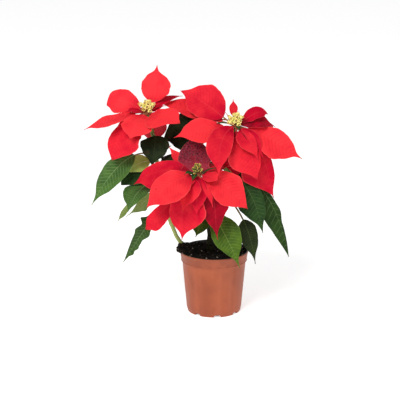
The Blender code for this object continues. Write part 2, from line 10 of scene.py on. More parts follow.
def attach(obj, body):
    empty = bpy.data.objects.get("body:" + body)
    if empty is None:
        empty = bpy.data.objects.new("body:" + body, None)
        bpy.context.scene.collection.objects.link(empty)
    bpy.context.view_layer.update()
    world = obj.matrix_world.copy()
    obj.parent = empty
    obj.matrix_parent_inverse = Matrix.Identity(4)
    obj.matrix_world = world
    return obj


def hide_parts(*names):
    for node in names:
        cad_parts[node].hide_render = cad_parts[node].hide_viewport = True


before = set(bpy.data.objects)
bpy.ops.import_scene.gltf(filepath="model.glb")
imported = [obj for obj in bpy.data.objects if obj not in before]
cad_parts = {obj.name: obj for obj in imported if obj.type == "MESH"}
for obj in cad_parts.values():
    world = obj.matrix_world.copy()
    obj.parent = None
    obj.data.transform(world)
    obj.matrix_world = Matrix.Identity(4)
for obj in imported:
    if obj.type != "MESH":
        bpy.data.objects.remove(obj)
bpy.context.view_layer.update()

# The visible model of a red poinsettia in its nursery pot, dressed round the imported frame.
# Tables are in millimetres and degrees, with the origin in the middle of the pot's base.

MM = 0.001
BODY = "root"

# Camera at the photograph's viewing angle
CAMERA_DISTANCE = 2300
CAMERA_ELEVATION = 15.5
CAMERA_TARGET = (-24.5, 0, 199.2)
CAMERA_LENS = 119.7
CAMERA_SENSOR = 36

# Pot and soil, as in the frame
POT_HEIGHT = 110.0
RIM_RADIUS = 60.0
FOOT_RADIUS = 47.0
POT_WALL = 1.8
RIM_BAND = 18.0
BAND_FOOT = POT_HEIGHT - RIM_BAND
BAND_STEP = 1.6
LIP_STEP = 1.2
BASE_THICKNESS = 2.4
POT_SIDES = 160
DRAIN_HOLES = 8
DRAIN_WIDTH = 13.0
DRAIN_HEIGHT = 4.5
DRAIN_DEPTH = 11.0
SOIL_LEVEL = 106.0
SOIL_LUMPS = 1.3
SOIL_HEAP = 14.5
HEAP_MIDDLE = -56
HEAP_SPREAD = (24, 30)
SOIL_SPILL = 9.0
SOIL_INSET = 4.1
NECK_DEPTH = 16
NECK_RADII = (54.4, 55.8)
SOIL_SECTORS = 150
SOIL_RINGS = 46
CRUMBS = 1500

# Leaves and bracts: their forms, and how their meshes and veins are laid out
STALK_RADIUS = 1.5
BEZIER_REACH = 0.38
CORE_RADIUS = 5.5
CORE_DROP = 10.0
STALK_STEPS = 6
BLADE_STEPS = 56
HALF_COLUMNS = 13
THICK_MIDDLE = 0.6
THICK_EDGE = 0.28
BRACT_VEINS = 14
LEAF_VEINS = 17
BRACT_RELIEF = 0.3
LITTLE_RELIEF = 0.2
LEAF_RELIEF = 0.5
VEIN_SWEEP = 0.55
VEIN_CURVE = 0.006
MARGIN_WAVES = ((0.02, 2.3), (0.012, 4.9), (0.007, 9.7))
BLADE_SPACING = 400

# Stems, the swellings where leaves grow or grew, and cups
STEM_SIDES = 28
STEM_STEPS = 16
SCAR_HEIGHTS = range(120, 330, 34)
SWELLING = 0.14
SWELLING_REACH = 2.6
PETIOLE_SINK = 0.8
GOLDEN_ANGLE = 137.5
CLUSTER_LEAN = 48
BUD_RADIUS = 3.0

# Light and ground, in metres and watts: each light's place, size and power
LIGHTS = {
    "key": ((-0.9, -1.9, 2.2), 1.1, 52),
    "fill": ((1.6, -1.6, 0.9), 1.4, 6),
}
LIGHT_TARGET = (0, 0, 0.25)
WORLD_STRENGTH = 0.42
FLOOR_GLOW = 0.55
FLOOR_REACH = 20

# Starts of the random draws
CRUMB_SEED = 11
BRACT_SEED = 100
LEAF_SEED = 300
CUP_SEED = 500

HEADS = {
    "left": (-115, 15, 361),
    "right": (36, -5, 342),
    "lower": (-29, -70, 272),
}


@dataclass(frozen=True)
class Blade:
    """One leaf or bract, as in the frame's source. Tone: 1 is scarlet, 0 crimson and -0.9 mottled maroon.
    Tones below scarlet, down into dark maroon, are painted shade for bracts that lie in shadow, over small
    differences in their own red; the mottled maroon at -0.9 is the bract's own colour.
    """

    tip: tuple
    width: float
    rise: float = 20
    fall: float = -30
    face: float = 0
    swing: float = 0
    stalk: float = 0.14
    widest: float = 0.42
    point: float = 1.5
    cup: float = 0.1
    skew: float = 0.0
    tone: float = 0.6
    drip: float = 0.35
    lobes: tuple = ()


# Bracts of each head. Their lower tones paint shade onto bracts that lie in shadow.
BRACTS = {
    "left": (
        Blade((17, 30, 66), 59, 30, 85, stalk=0.24, widest=0.45, point=1.1, cup=0.15, skew=0.08, tone=0.95,
              drip=0.6),
        Blade((-71, 32, -5), 48, 24, -50, face=50, widest=0.6, point=0.8, skew=-0.1, tone=0.85, drip=0),
        Blade((-107, -25, -36), 38, 0, -27, face=14, widest=0.58, point=1.6, skew=-0.57, tone=0.95),
        Blade((-26, -70, -42), 53, -12, -50, face=12, widest=0.64, point=1.2, skew=-0.14, tone=1),
        Blade((-59, -36, -86), 66, -12, -80, face=20, widest=0.62, point=0.9, skew=-0.5, tone=0.4, drip=0.1),
        Blade((57, -55, -18), 63, 0, -28, face=-24, widest=0.5, point=0.8, skew=0.42, tone=0.95),
        Blade((61, 35, 11), 17, 33, -6, face=-25, tone=0.05),
        Blade((32, 2, 0), 16, 12, -10, face=-20, tone=0),
        Blade((26, -2, 1), 10, 10, -5, tone=0.1),
        Blade((-36, -16, -7), 26, 10, -15, face=10, tone=0.05),
        Blade((8, 34, -78), 52, -20, -85, widest=0.5, tone=0.15),
        Blade((-6, 72, -30), 46, 10, -45, tone=0.5),
    ),
    "right": (
        Blade((-94, 35, 43), 67, 30, 15, face=45, stalk=0.2, widest=0.46, point=1.0, skew=0.06, tone=0.45),
        Blade((-136, 46, 21), 50, 13, 6, face=25, widest=0.5, skew=0.25, tone=0.8),
        Blade((-104, -45, -21), 52, -9, -15, face=40, widest=0.5, skew=-0.05, tone=0.95),
        Blade((-4, 20, 31), 15, 25, 80, stalk=0.4, widest=0.5, tone=0.3),
        Blade((-18, 5, 12), 9, 20, 40, tone=0),
        Blade((56, 25, 4), 28, 24, -40, face=-32, widest=0.58, point=0.8, tone=-0.1),
        Blade((69, 22, -18), 42, 12, -40, face=-25, stalk=0.06, widest=0.5, tone=-0.2),
        Blade((113, -15, -65), 57, -14, -34, face=-45, widest=0.55, point=1.3, skew=0.2, tone=0.85, drip=0.5),
        Blade((37, -45, -60), 32, -20, -65, face=-20, skew=0.4, tone=0.45),
        Blade((46, -35, -59), 24, -15, -60, face=-30, tone=0.05),
        Blade((36, -47, -93), 56, -34, -70, face=-25, widest=0.56, point=1.0, skew=0.5, tone=0.5),
        Blade((66, -12, -134), 58, -28, -75, face=-65, widest=0.6, skew=0.6, tone=0.15, drip=0.2),
        Blade((-29, -80, -80), 44, -10, -75, face=20, swing=-25, stalk=0.05, widest=0.5, skew=0.1, tone=0.35),
        Blade((1, -8, -97), 64, -30, -89, face=-35, widest=0.55, point=0.8, tone=-0.15),
        Blade((4, 75, -30), 50, 8, -50, tone=0.5),
        Blade((70, 62, -40), 48, 5, -50, tone=0.5),
    ),
    "lower": (
        Blade((-107, 25, -33), 61, 16, -42, face=40, stalk=0.08, widest=0.5, point=1.2, skew=-0.35, tone=0.2),
        Blade((-84, -35, -57), 73, 2, -45, face=22, stalk=0.08, widest=0.5, point=1.3, skew=-0.26, tone=0.9,
              drip=0.2),
        Blade((-27, -30, -40), 26, -10, -60, point=1.0, tone=0.45),
        Blade((-24, -35, -64), 38, -12, -75, face=10, skew=-0.3, tone=0.45),
        Blade((-26, -15, -119), 62, -30, -85, face=50, widest=0.56, skew=-0.32, tone=0.25),
        Blade((-87, 0, -105), 32, -47, -48, face=60, stalk=0.35, widest=0.75, point=0.7, skew=-0.2,
              tone=0.35),
        Blade((34, -15, -118), 44, -30, -80, face=-60, skew=0.12, tone=-0.35,
              lobes=((-1, 0.5, 5, 0.07), (1, 0.5, 5, 0.07))),
        Blade((26, -35, -57), 14, -15, -65, face=-20, tone=0.5),
        Blade((33, -21, -15), 27, 5, -30, face=-25, stalk=0.2, widest=0.6, point=0.7, tone=0.55),
        Blade((84, -10, -66), 66, 0, -48, face=-40, widest=0.5, point=1.2, skew=0.14, tone=0.9, drip=0.1),
        Blade((-7, 45, 55), 58, 20, 65, stalk=0.06, widest=0.4, tone=-0.9,
              lobes=((-1, 0.08, 10, 0.07), (-1, 0.22, -3, 0.06), (1, 0.06, 12, 0.07), (1, 0.22, -3, 0.06))),
        Blade((-51, 60, 27), 20, 12, 30, face=50),
        Blade((60, 50, -10), 48, 10, -30, tone=0.3),
        Blade((-1, -29, -74), 36, -20, -80, stalk=0.04, tone=0.1),
    ),
}

# Small green leaves among the bracts
LITTLE = {
    "left": (
        Blade((22, 10, -14), 8, -10, -40),
    ),
    "right": (
        Blade((-41, -6, -8), 10, 10, -20),
        Blade((6, -20, -14), 8, -10, -50),
    ),
    "lower": (
        Blade((-21, -16, -5), 11, 10, -30, face=20),
        Blade((36, -4, 2), 10, 15, -10),
        Blade((-8, -22, -14), 10, -5, -50),
    ),
}

# Cups in the middle of each flower head: how many, half their spread across and in depth
CYATHIA = {
    "left": (12, 15, 12),
    "right": (13, 15, 14),
    "lower": (8, 9.5, 9),
}

# Centre lines of the stems, bottom to top, with the radius at each point
STEMS = {
    "left": (
        ((-41.5, 2, 92), 3.3), ((-60, 3.2, 124), 3.4), ((-68, 6, 138), 3.5), ((-84, 12, 183), 3.4),
        ((-97, 17, 250), 3.2), ((-105, 18, 308), 3.2), ((-115, 15, 345.2), 3.2),
    ),
    "trunk": (
        ((-6, 6, 78), 7.0), ((-6, 6, 104), 6.5), ((-7, 5, 122), 6.0), ((-4, 2, 145), 5.5),
    ),
    "right": (
        ((-6, 4, 132), 5.0), ((5, 6, 175), 3.8), ((18, 4, 235), 3.5), ((31, -1, 295), 3.3),
        ((36, -5, 326.2), 3.3),
    ),
    "lower": (
        ((-6, 3, 132), 4.8), ((-11, -14, 165), 3.8), ((-17, -38, 210), 3.4), ((-26.5, -63, 238), 3.3),
        ((-29, -70, 256.2), 3.3),
    ),
}

# Green leaves: the stem that carries each, the height of its petiole's root, its colours and its blade
LEAVES = {
    "leaf_heart": ("left", 315, "black", Blade(
        (-106, -25, 267), 49, -5, -80, swing=25, stalk=0.2, widest=0.36, point=0.9)),
    "leaf_left_large": ("left", 276, "fresh", Blade(
        (-210, -25, 197), 48, 22, -58, face=33, stalk=0.26, point=1.4, skew=-0.12)),
    "leaf_left_pale": ("left", 264, "lemon", Blade(
        (-152, 2, 250), 34, 12, -30, face=40, stalk=0.15, widest=0.5, point=0.8, drip=0)),
    "leaf_left_dark": ("left", 250, "dark", Blade(
        (-160, -8, 228), 46, -5, -45, face=25, stalk=0.1, widest=0.5, point=0.8, skew=-0.2, drip=0)),
    "leaf_left_middle": ("left", 228, "fresh", Blade(
        (-146, -62, 195), 50, 16, -60, stalk=0.25, widest=0.45, point=1.2, skew=0.12)),
    "leaf_left_under": ("left", 205, "pale", Blade(
        (-152, -25, 176), 44, 10, -25, face=-60, stalk=0.1, widest=0.33, point=1.8, skew=0.35)),
    "leaf_left_low": ("left", 190, "mild", Blade(
        (-157, -30, 96), 23, -45, -50, face=35, stalk=0.1, widest=0.4, point=1.1, skew=0.05, drip=0,
        lobes=(
            (1, 0.26, 7, 0.04), (1, 0.35, -2, 0.04), (1, 0.47, 3, 0.05), (-1, 0.45, 4, 0.06),
            (-1, 0.57, -2, 0.04), (-1, 0.72, 3, 0.04), (-1, 0.83, 4, 0.04),
        ))),
    "leaf_left_tip": ("left", 214, "pale", Blade(
        (-167, -10, 163), 14, 5, -60, face=20, stalk=0.3, widest=0.72, skew=-0.3)),
    "leaf_right_dark": ("right", 254, "dark", Blade(
        (83, -45, 153), 50, -22, -75, face=-30, stalk=0.08, widest=0.5, point=1.2, skew=0.25)),
    "leaf_right_far": ("right", 240, "deep", Blade(
        (128, -40, 109), 38, 10, -70, face=-35, swing=30, stalk=0.12, widest=0.45, point=1.1,
        skew=0.58, drip=0, lobes=((-1, 0.57, 5, 0.05), (-1, 0.67, -4, 0.05)))),
    "leaf_front": ("lower", 200, "yellow", Blade(
        (43, -77, 101), 50, -46, -62, face=-40, stalk=0.15, skew=-0.08)),
    "leaf_front_grey": ("right", 212, "grey", Blade(
        (70.4, -48, 98.7), 34, -28, -80, face=-50, stalk=0.44, widest=0.3, skew=0.1)),
    "leaf_small": ("lower", 178, "yellow", Blade((-32, -55, 149), 30, 10, -40, face=20, stalk=0.2)),
    "leaf_between": ("right", 306, "black", Blade(
        (-87, 38, 300), 72, 20, -30, face=55, stalk=0.2, widest=0.6, point=0.8, drip=0.2)),
    "leaf_gap": ("lower", 244, "black", Blade(
        (-92, 4, 273), 40, 35, -15, face=20, stalk=0.2, widest=0.6, point=0.9)),
    "leaf_back_left": ("left", 272, "fresh", Blade((-97, 116, 246), 46, 20, -60, stalk=0.25)),
    "leaf_back_middle": ("right", 218, "dark", Blade((-40, 124, 218), 56, 15, -60, stalk=0.25)),
    "leaf_back_right": ("right", 282, "dark", Blade((48, 62, 200), 80, 5, -78, stalk=0.15)),
    "leaf_back_low": ("trunk", 138, "dark", Blade((2, 110, 160), 50, 45, -40, stalk=0.3)),
}

# Upper face's deep and light colour, its veins' colour, and how much brown is in its blotches
LEAF_LOOKS = {
    "fresh": ((0.030, 0.085, 0.013), (0.065, 0.150, 0.024), (0.25, 0.38, 0.15), 0.1),
    # Painted shade: a dark green darkened further for leaves that lie in shadow.
    "dark": ((0.008, 0.030, 0.006), (0.022, 0.065, 0.012), (0.09, 0.16, 0.05), 0.25),
    # Painted shade: near black for leaves in deep shadow, over the heart leaf's own dark maroon-green.
    "black": ((0.006, 0.011, 0.005), (0.022, 0.036, 0.012), (0.04, 0.05, 0.022), 0.9),
    "yellow": ((0.022, 0.062, 0.006), (0.070, 0.140, 0.009), (0.20, 0.30, 0.06), 0.1),
    "grey": ((0.008, 0.015, 0.003), (0.020, 0.033, 0.006), (0.06, 0.085, 0.025), 0.3),
    "pale": ((0.110, 0.170, 0.030), (0.230, 0.290, 0.070), (0.42, 0.48, 0.20), 0.2),
    "deep": ((0.008, 0.026, 0.004), (0.022, 0.058, 0.008), (0.11, 0.18, 0.06), 0.15),
    "mild": ((0.015, 0.044, 0.007), (0.038, 0.092, 0.015), (0.18, 0.28, 0.10), 0.15),
    # Painted light: a yellow-green lightened well past the leaf's own colour, to make up for the shade that
    # the bracts cast on it.
    "lemon": ((0.420, 0.600, 0.100), (0.600, 0.750, 0.180), (0.95, 0.97, 0.60), 0.0),
}

# Lower faces: deep, light and the veins' colour
LOWER_FACES = {
    "pale": ((0.13, 0.2, 0.045), (0.25, 0.33, 0.09), (0.38, 0.45, 0.2)),
    "dull": ((0.038, 0.075, 0.018), (0.08, 0.135, 0.034), (0.2, 0.28, 0.11)),
}

# Open cups and green buds: foot, wall, lip and mouth
CUP_COLOURS = {
    "cup": ((0.4, 0.42, 0.07), (0.98, 0.9, 0.3), (1.0, 0.93, 0.36), (0.26, 0.05, 0.003)),
    "bud": ((0.004, 0.012, 0.002), (0.012, 0.035, 0.005), (0.45, 0.4, 0.07), (0.006, 0.008, 0.002)),
}

# Looks whose lower face is a dull green as well; for the dark and black looks this dull lower face goes with
# their painted shade.
DULL_BELOW = ("dark", "black", "grey", "deep")


def placed(name, data):
    """A new object of the scene."""
    item = bpy.data.objects.new(name, data)
    bpy.context.scene.collection.objects.link(item)
    return item


class Gathered:
    """Points in millimetres, faces, and what goes with them, gathered for one object."""

    def __init__(self):
        self.points, self.faces, self.slots = [], [], []
        self.fields = {}
        self.count = 0

    def add(self, points, faces, slot=0, **fields):
        points = np.asarray(points, float).reshape(-1, 3)
        faces = [[i + self.count for i in face] for face in faces]
        self.points.append(points)
        self.faces += faces
        self.slots += list(slot) if np.ndim(slot) else [slot] * len(faces)
        for name in {**self.fields, **fields}:
            value = np.broadcast_to(np.asarray(fields.get(name, 0.0), float), (len(points),))
            earlier = self.fields.setdefault(name, [np.zeros(self.count)] if self.count else [])
            earlier.append(value)
        self.count += len(points)

    def make(self, name, finishes, replaced=(), sharp=50):
        mesh = bpy.data.meshes.new(name)
        mesh.from_pydata((np.concatenate(self.points) * MM).tolist(), [], self.faces)
        mesh.polygons.foreach_set("material_index", np.array(self.slots, np.int32))
        for field, values in self.fields.items():
            layer = mesh.attributes.new(field, "FLOAT", "POINT")
            layer.data.foreach_set("value", np.concatenate(values).astype(np.float32))
        for finish in finishes:
            mesh.materials.append(finish)
        mesh.shade_smooth()
        mesh.set_sharp_from_angle(angle=math.radians(sharp))
        made = placed(name, mesh)
        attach(made, BODY)
        if replaced:
            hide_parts(*replaced)
        return made


def ring_faces(rows, size):
    """Quads of a closed tube through rows of rings, with both ends closed."""
    faces = []
    for i in range(rows - 1):
        for j in range(size):
            a, b = i * size + j, i * size + (j + 1) % size
            faces.append((a, b, b + size, a + size))
    last = (rows - 1) * size
    faces.append(tuple(range(size - 1, -1, -1)))
    faces.append(tuple(range(last, last + size)))
    return faces


def unit(vectors):
    return vectors / np.maximum(np.linalg.norm(vectors, axis=-1, keepdims=True), 1e-9)


def heading_of(vector):
    return unit(np.array((vector[0], vector[1], 0.0)))


def slanted(heading, degrees):
    angle = math.radians(degrees)
    return heading * math.cos(angle) + np.array((0, 0, math.sin(angle)))


def turned(heading, degrees):
    angle = math.radians(degrees)
    x = heading[0] * math.cos(angle) - heading[1] * math.sin(angle)
    y = heading[0] * math.sin(angle) + heading[1] * math.cos(angle)
    return np.array((x, y, 0.0))


def spine_of(blade, root, tip, places):
    """The midrib's points, and the directions to the right and out of the upper face, at each place."""
    heading = heading_of(tip - root)
    reach = np.linalg.norm(tip - root) * BEZIER_REACH
    b = root + slanted(turned(heading, blade.swing), blade.rise) * reach
    c = tip - slanted(turned(heading, -blade.swing), blade.fall) * reach
    t = places[:, None]
    u = 1 - t
    middle = root * u**3 + b * 3 * u * u * t + c * 3 * u * t * t + tip * t**3
    along = unit((b - root) * u * u + (c - b) * 2 * u * t + (tip - c) * t * t)
    level = np.array((heading[1], -heading[0], 0))
    up = unit(np.cross(level, along))
    right = np.cross(along, up)
    angle = math.radians(blade.face)
    side = right * math.cos(angle) + up * math.sin(angle)
    return middle, side, up * math.cos(angle) - right * math.sin(angle)


def outline(blade, s):
    """Half of the blade's width at shares s of its length past the stalk."""
    rising = np.sin(np.pi / 2 * np.minimum(1, s / blade.widest)) ** 0.6
    past = np.clip((s - blade.widest) / (1 - blade.widest), 0, 1)
    falling = np.maximum(0, np.cos(np.pi / 2 * past)) ** blade.point
    share = np.where(s < blade.widest, rising, falling)
    return blade.width / 2 * share


def margins(blade, s, chance):
    """Half widths on the left and on the right, with their small unevenness and drawn-out tip."""
    past = np.clip((s - blade.widest) / (1 - blade.widest), 0, 1)
    plain = outline(blade, s) * (1 - blade.drip * smooth_step((past - 0.5) / 0.32))
    sides = []
    for hand in (-1, 1):
        uneven = sum(
            size * np.sin(2 * np.pi * (count * s + chance.random()))
            for size, count in MARGIN_WAVES
        )
        half = plain * (1 + uneven)
        for lobe_hand, place, height, spread in blade.lobes:
            if lobe_hand == hand:
                half = half + height * np.exp(-(((s - place) / spread) ** 2))
        sides.append(half)
    return sides


def smooth_step(values):
    values = np.clip(values, 0, 1)
    return values * values * (3 - 2 * values)


def blade_stations(blade):
    """Shares of the whole length, closer at the blade's ends, and shares of the length past the stalk."""
    x = np.linspace(0, 1, BLADE_STEPS)
    s = 0.55 * x + 0.45 * (1 - np.cos(np.pi * x)) / 2
    stalk = np.linspace(0, blade.stalk, STALK_STEPS, endpoint=False)
    places = np.concatenate((stalk, blade.stalk + (1 - blade.stalk) * s))
    return places, np.concatenate((np.zeros(STALK_STEPS), s))


def add_blade(gathered, blade, root, tip, relief, veins, chance, slots=(0, 1, 2)):
    """Adds a leaf or bract with a round stalk, a midrib, quilted veins and a waved margin."""
    root, tip = np.array(root, float), np.array(tip, float)
    places, s = blade_stations(blade)
    middle, side, normal = spine_of(blade, root, tip, places)
    length = np.linalg.norm(tip - root) * (1 - blade.stalk)
    k = np.linspace(-1, 1, 2 * HALF_COLUMNS + 1)
    u = k * (0.35 + 0.65 * np.abs(k))
    stalk_half = STALK_RADIUS * (1 - 0.6 * s)
    left, right = (np.maximum(margin, stalk_half)[:, None] for margin in margins(blade, s, chance))
    half = np.where(u < 0, left, right)
    across = half * (u + blade.skew * u * u)
    down = s[:, None]

    phases = [chance.random() for _ in range(4)]
    swell = (1.4 + 0.8 * chance.random(), 2.6 + chance.random())
    wave = sum(
        size * np.sin(2 * np.pi * (count * down + 0.15 * u + phase * np.sign(u)))
        for size, count, phase in ((1.0, swell[0], phases[0]), (0.55, swell[1], phases[1]))
    )
    window = smooth_step(down * 5) * smooth_step((1 - down) * 4)
    lift = blade.cup * outline(blade, down) * u**2
    lift = lift + wave * np.abs(u) ** 2.2 * window * blade.width / 45
    sweep = np.abs(across) * (VEIN_SWEEP + VEIN_CURVE * np.abs(across))
    vein = (down * length - sweep) * veins / length
    quilt = relief * np.abs(np.sin(np.pi * vein)) ** 0.8 * (1 - np.abs(u) ** 3) * window

    joined = smooth_step(down / 0.07)
    round_off = np.cos(np.pi / 2 * u) * STALK_RADIUS
    thick = (THICK_MIDDLE + (THICK_EDGE - THICK_MIDDLE) * u**4) / 2
    groove = 0.35 * np.exp(-((across / 0.9) ** 2)) * (1 - down)
    ridge_radius = STALK_RADIUS * (1 - down) ** 1.5
    ridge = np.sqrt(np.maximum(0, ridge_radius**2 - across**2))
    top = round_off * (1 - joined) + (thick + quilt - groove) * joined
    bottom = round_off * (1 - joined) + (thick - 0.8 * quilt + ridge) * joined

    base = middle[:, None, :] + side[:, None, :] * across[..., None] + normal[:, None, :] * lift[..., None]
    upper = base + normal[:, None, :] * top[..., None]
    lower = base - normal[:, None, :] * bottom[..., None]
    points = np.concatenate((upper, lower[:, ::-1]), axis=1)

    rows, columns = across.shape
    size = 2 * columns
    i, j = np.meshgrid(np.arange(rows - 1), np.arange(size), indexing="ij")
    a, b = i * size + j, i * size + (j + 1) % size
    faces = np.stack((a, b, b + size, a + size), -1).reshape(-1, 4)
    slot = np.where(j < columns - 1, slots[0], slots[1])
    slot = np.where(s[i + 1] <= 0, slots[2], slot).reshape(-1)
    caps = []
    last = (rows - 1) * size
    for n in range(columns - 1):
        near = (n, size - 1 - n, size - 2 - n, n + 1)
        caps += [near, tuple(last + p for p in near[::-1])]

    def both(values):
        values = np.broadcast_to(values, across.shape)
        return np.concatenate((values, values[:, ::-1]), axis=1).reshape(-1)

    gathered.add(
        points,
        faces.tolist() + caps,
        list(slot) + [slots[2], slots[0]] * (columns - 1),
        vein=both(vein),
        across=both(across),
        along=both(down),
        travel=both(down * length),
        edge=both(np.abs(u)),
        tone=blade.tone,
        chance=chance.random(),
    )


def smooth_line(points, steps):
    """A smooth curve through (point, radius) pairs, with steps places in each stretch."""
    line = []
    for i in range(len(points) - 1):
        quad = [points[min(max(j, 0), len(points) - 1)] for j in (i - 1, i, i + 1, i + 2)]
        (a, _), (b, rb), (c, rc), (d, _) = [(np.array(p, float), r) for p, r in quad]
        for k in range(steps):
            t = k / steps
            place = (
                b * (2 * t**3 - 3 * t * t + 1)
                + (c - a) / 2 * (t**3 - 2 * t * t + t)
                + c * (3 * t * t - 2 * t**3)
                + (d - b) / 2 * (t**3 - t * t)
            )
            line.append((place, rb + (rc - rb) * t))
    line.append((np.array(points[-1][0], float), points[-1][1]))
    return line


def stem_place(stem, height):
    """The centre and radius of a stem at a height."""
    line = smooth_line(STEMS[stem], 8)
    for (a, ra), (b, rb) in zip(line, line[1:]):
        if a[2] <= height <= b[2]:
            share = (height - a[2]) / (b[2] - a[2])
            return a + (b - a) * share, ra + (rb - ra) * share
    raise ValueError(f"stem {stem} has no height {height}")


class Paint:
    """A Principled material whose nodes are added one call at a time."""

    def __init__(self, name, roughness, specular=0.4):
        self.material = bpy.data.materials.new(name)
        self.material.use_nodes = True
        self.tree = self.material.node_tree
        self.shader = self.tree.nodes["Principled BSDF"]
        self.shader.inputs["Roughness"].default_value = roughness
        self.shader.inputs["Specular IOR Level"].default_value = specular

    def feed(self, socket, value):
        if isinstance(value, bpy.types.NodeSocket):
            self.tree.links.new(value, socket)
        elif np.ndim(value) and len(value) == 3 and len(socket.default_value) == 4:
            socket.default_value = (*value, 1)
        else:
            socket.default_value = value

    def node(self, kind, *values, **settings):
        """A new node with values for its first sockets; settings with a capital name other sockets."""
        node = self.tree.nodes.new("ShaderNode" + kind)
        for name, value in settings.items():
            if name[0].isupper():
                self.feed(node.inputs[name], value)
            else:
                setattr(node, name, value)
        for socket, value in zip(node.inputs, values):
            self.feed(socket, value)
        return node

    def field(self, name):
        return self.node("Attribute", attribute_name=name).outputs["Fac"]

    def place(self):
        return self.node("TexCoord").outputs["Object"]

    def streaky_place(self, share):
        """Object coordinates in which height counts for a share only, for streaks up and down."""
        return self.node("VectorMath", self.place(), (1, 1, share), operation="MULTIPLY").outputs[0]

    def height(self):
        return self.node("SeparateXYZ", self.place()).outputs["Z"]

    def vector(self, x, y, z):
        return self.node("CombineXYZ", x, y, z).outputs[0]

    def maths(self, operation, *values):
        return self.node("Math", *values, operation=operation).outputs[0]

    def times(self, a, b):
        return self.maths("MULTIPLY", a, b)

    def mix(self, share, a, b):
        node = self.node("Mix", share, data_type="RGBA")
        self.feed(node.inputs[6], a)
        self.feed(node.inputs[7], b)
        return node.outputs[2]

    def band(self, value, low, high, start=0.0, end=1.0):
        """A smooth step from start to end as the value goes from low to high."""
        ends = (value, low, high, start, end)
        return self.node("MapRange", *ends, interpolation_type="SMOOTHSTEP").outputs[0]

    def noise(self, vector, scale, detail=3, roughness=0.55):
        node = self.node("TexNoise", Vector=vector, Scale=scale, Detail=detail, Roughness=roughness)
        return node.outputs[0]

    def net(self, vector, scale):
        """Distance to the edge of the nearest cell."""
        node = self.node("TexVoronoi", feature="DISTANCE_TO_EDGE", Scale=scale, Vector=vector)
        return node.outputs["Distance"]

    def finish(self, colour, height=None, distance=0.0004, strength=0.5, roughness=None):
        self.feed(self.shader.inputs["Base Color"], colour)
        if roughness is not None:
            self.feed(self.shader.inputs["Roughness"], roughness)
        if height is not None:
            bump = self.node("Bump", Strength=strength, Distance=distance, Height=height)
            self.feed(self.shader.inputs["Normal"], bump.outputs[0])
        return self.material


def blade_coordinates(paint):
    """The blade's own flat coordinates in millimetres, apart for each blade."""
    apart = paint.times(paint.field("chance"), BLADE_SPACING)
    return paint.vector(paint.field("travel"), paint.field("across"), apart)


def veined(paint, colour, width, lateral, middle):
    """A colour with lateral veins and a midrib over it, each given as a strength and a colour."""
    shifted = paint.maths("FRACT", paint.maths("ADD", paint.field("vein"), 0.5))
    apart = paint.maths("ABSOLUTE", paint.maths("SUBTRACT", shifted, 0.5))
    fade = paint.band(paint.field("edge"), 0.55, 1.0, 1.0, 0.0)
    lines = paint.times(paint.band(apart, 0.0, width, 1.0, 0.0), fade)
    colour = paint.mix(paint.times(lines, lateral[0]), colour, lateral[1])
    rib = paint.band(paint.maths("ABSOLUTE", paint.field("across")), 0.3, 1.1, 1.0, 0.0)
    rib = paint.times(rib, paint.maths("SUBTRACT", 1.0, paint.field("along")))
    return paint.mix(paint.times(rib, middle[0]), colour, middle[1])


def bract_upper():
    paint = Paint("bract_upper", 0.6, 0.07)
    flat = blade_coordinates(paint)
    patches = paint.maths("SUBTRACT", paint.noise(flat, 0.045, 3), 0.5)
    tone = paint.maths("ADD", paint.field("tone"), paint.times(patches, 1.3))
    # Darker towards the root: painted shade deep in the head, over the bracts' own deeper red at the base.
    tone = paint.maths("SUBTRACT", tone, paint.band(paint.field("along"), 0.4, 0.0, 0.0, 0.45))
    # Painted shade: low tones turn the red crimson, and below zero dark maroon, for bracts in shadow; scarlet
    # is the lit red.
    red = paint.mix(paint.maths("MAXIMUM", tone, 0.0), (0.54, 0.001, 0.022), (0.95, 0.034, 0.045))
    red = paint.mix(paint.band(tone, -0.05, -0.5), red, (0.27, 0.001, 0.012))
    dull = paint.band(tone, -0.5, -0.95)
    spots = paint.band(paint.noise(flat, 0.3, 5, 0.75), 0.42, 0.6)
    mottled = paint.mix(spots, (0.06, 0.002, 0.008), (0.22, 0.014, 0.03))
    mottled = paint.mix(paint.band(paint.field("along"), 0.5, 0.1, 0.0, 0.7), mottled, (0.46, 0.03, 0.06))
    red = paint.mix(dull, red, mottled)
    greyish = paint.times(paint.band(paint.net(flat, 0.3), 0.0, 0.1, 0.2, 0.0), dull)
    red = paint.mix(greyish, red, (0.50, 0.22, 0.26))
    red = veined(paint, red, 0.09, (0.5, (0.44, 0.002, 0.02)), (0.35, (0.75, 0.07, 0.07)))
    red = paint.mix(paint.band(paint.field("edge"), 0.94, 1.0, 0.0, 0.35), red, (0.95, 0.14, 0.12))
    red = paint.mix(paint.band(paint.field("along"), 0.93, 1.0, 0.0, 0.75), red, (0.30, 0.02, 0.02))
    grain = paint.maths("ADD", paint.net(flat, 0.8), paint.times(paint.noise(flat, 0.5, 4), 1.5))
    return paint.finish(red, grain, 0.0003, 0.35)


def bract_lower():
    paint = Paint("bract_lower", 0.65, 0.1)
    flat = blade_coordinates(paint)
    red = paint.mix(paint.noise(flat, 0.06, 3), (0.50, 0.010, 0.026), (0.66, 0.030, 0.045))
    # Darker at low tones: the maroon bract's own colour, and painted shade on the lower faces of bracts in
    # shadow.
    red = paint.mix(paint.band(paint.field("tone"), -0.1, -0.8), red, (0.34, 0.03, 0.05))
    red = veined(paint, red, 0.09, (0.4, (0.74, 0.09, 0.09)), (0.8, (0.70, 0.14, 0.10)))
    return paint.finish(red, paint.noise(flat, 0.6, 4), 0.0004, 0.35)


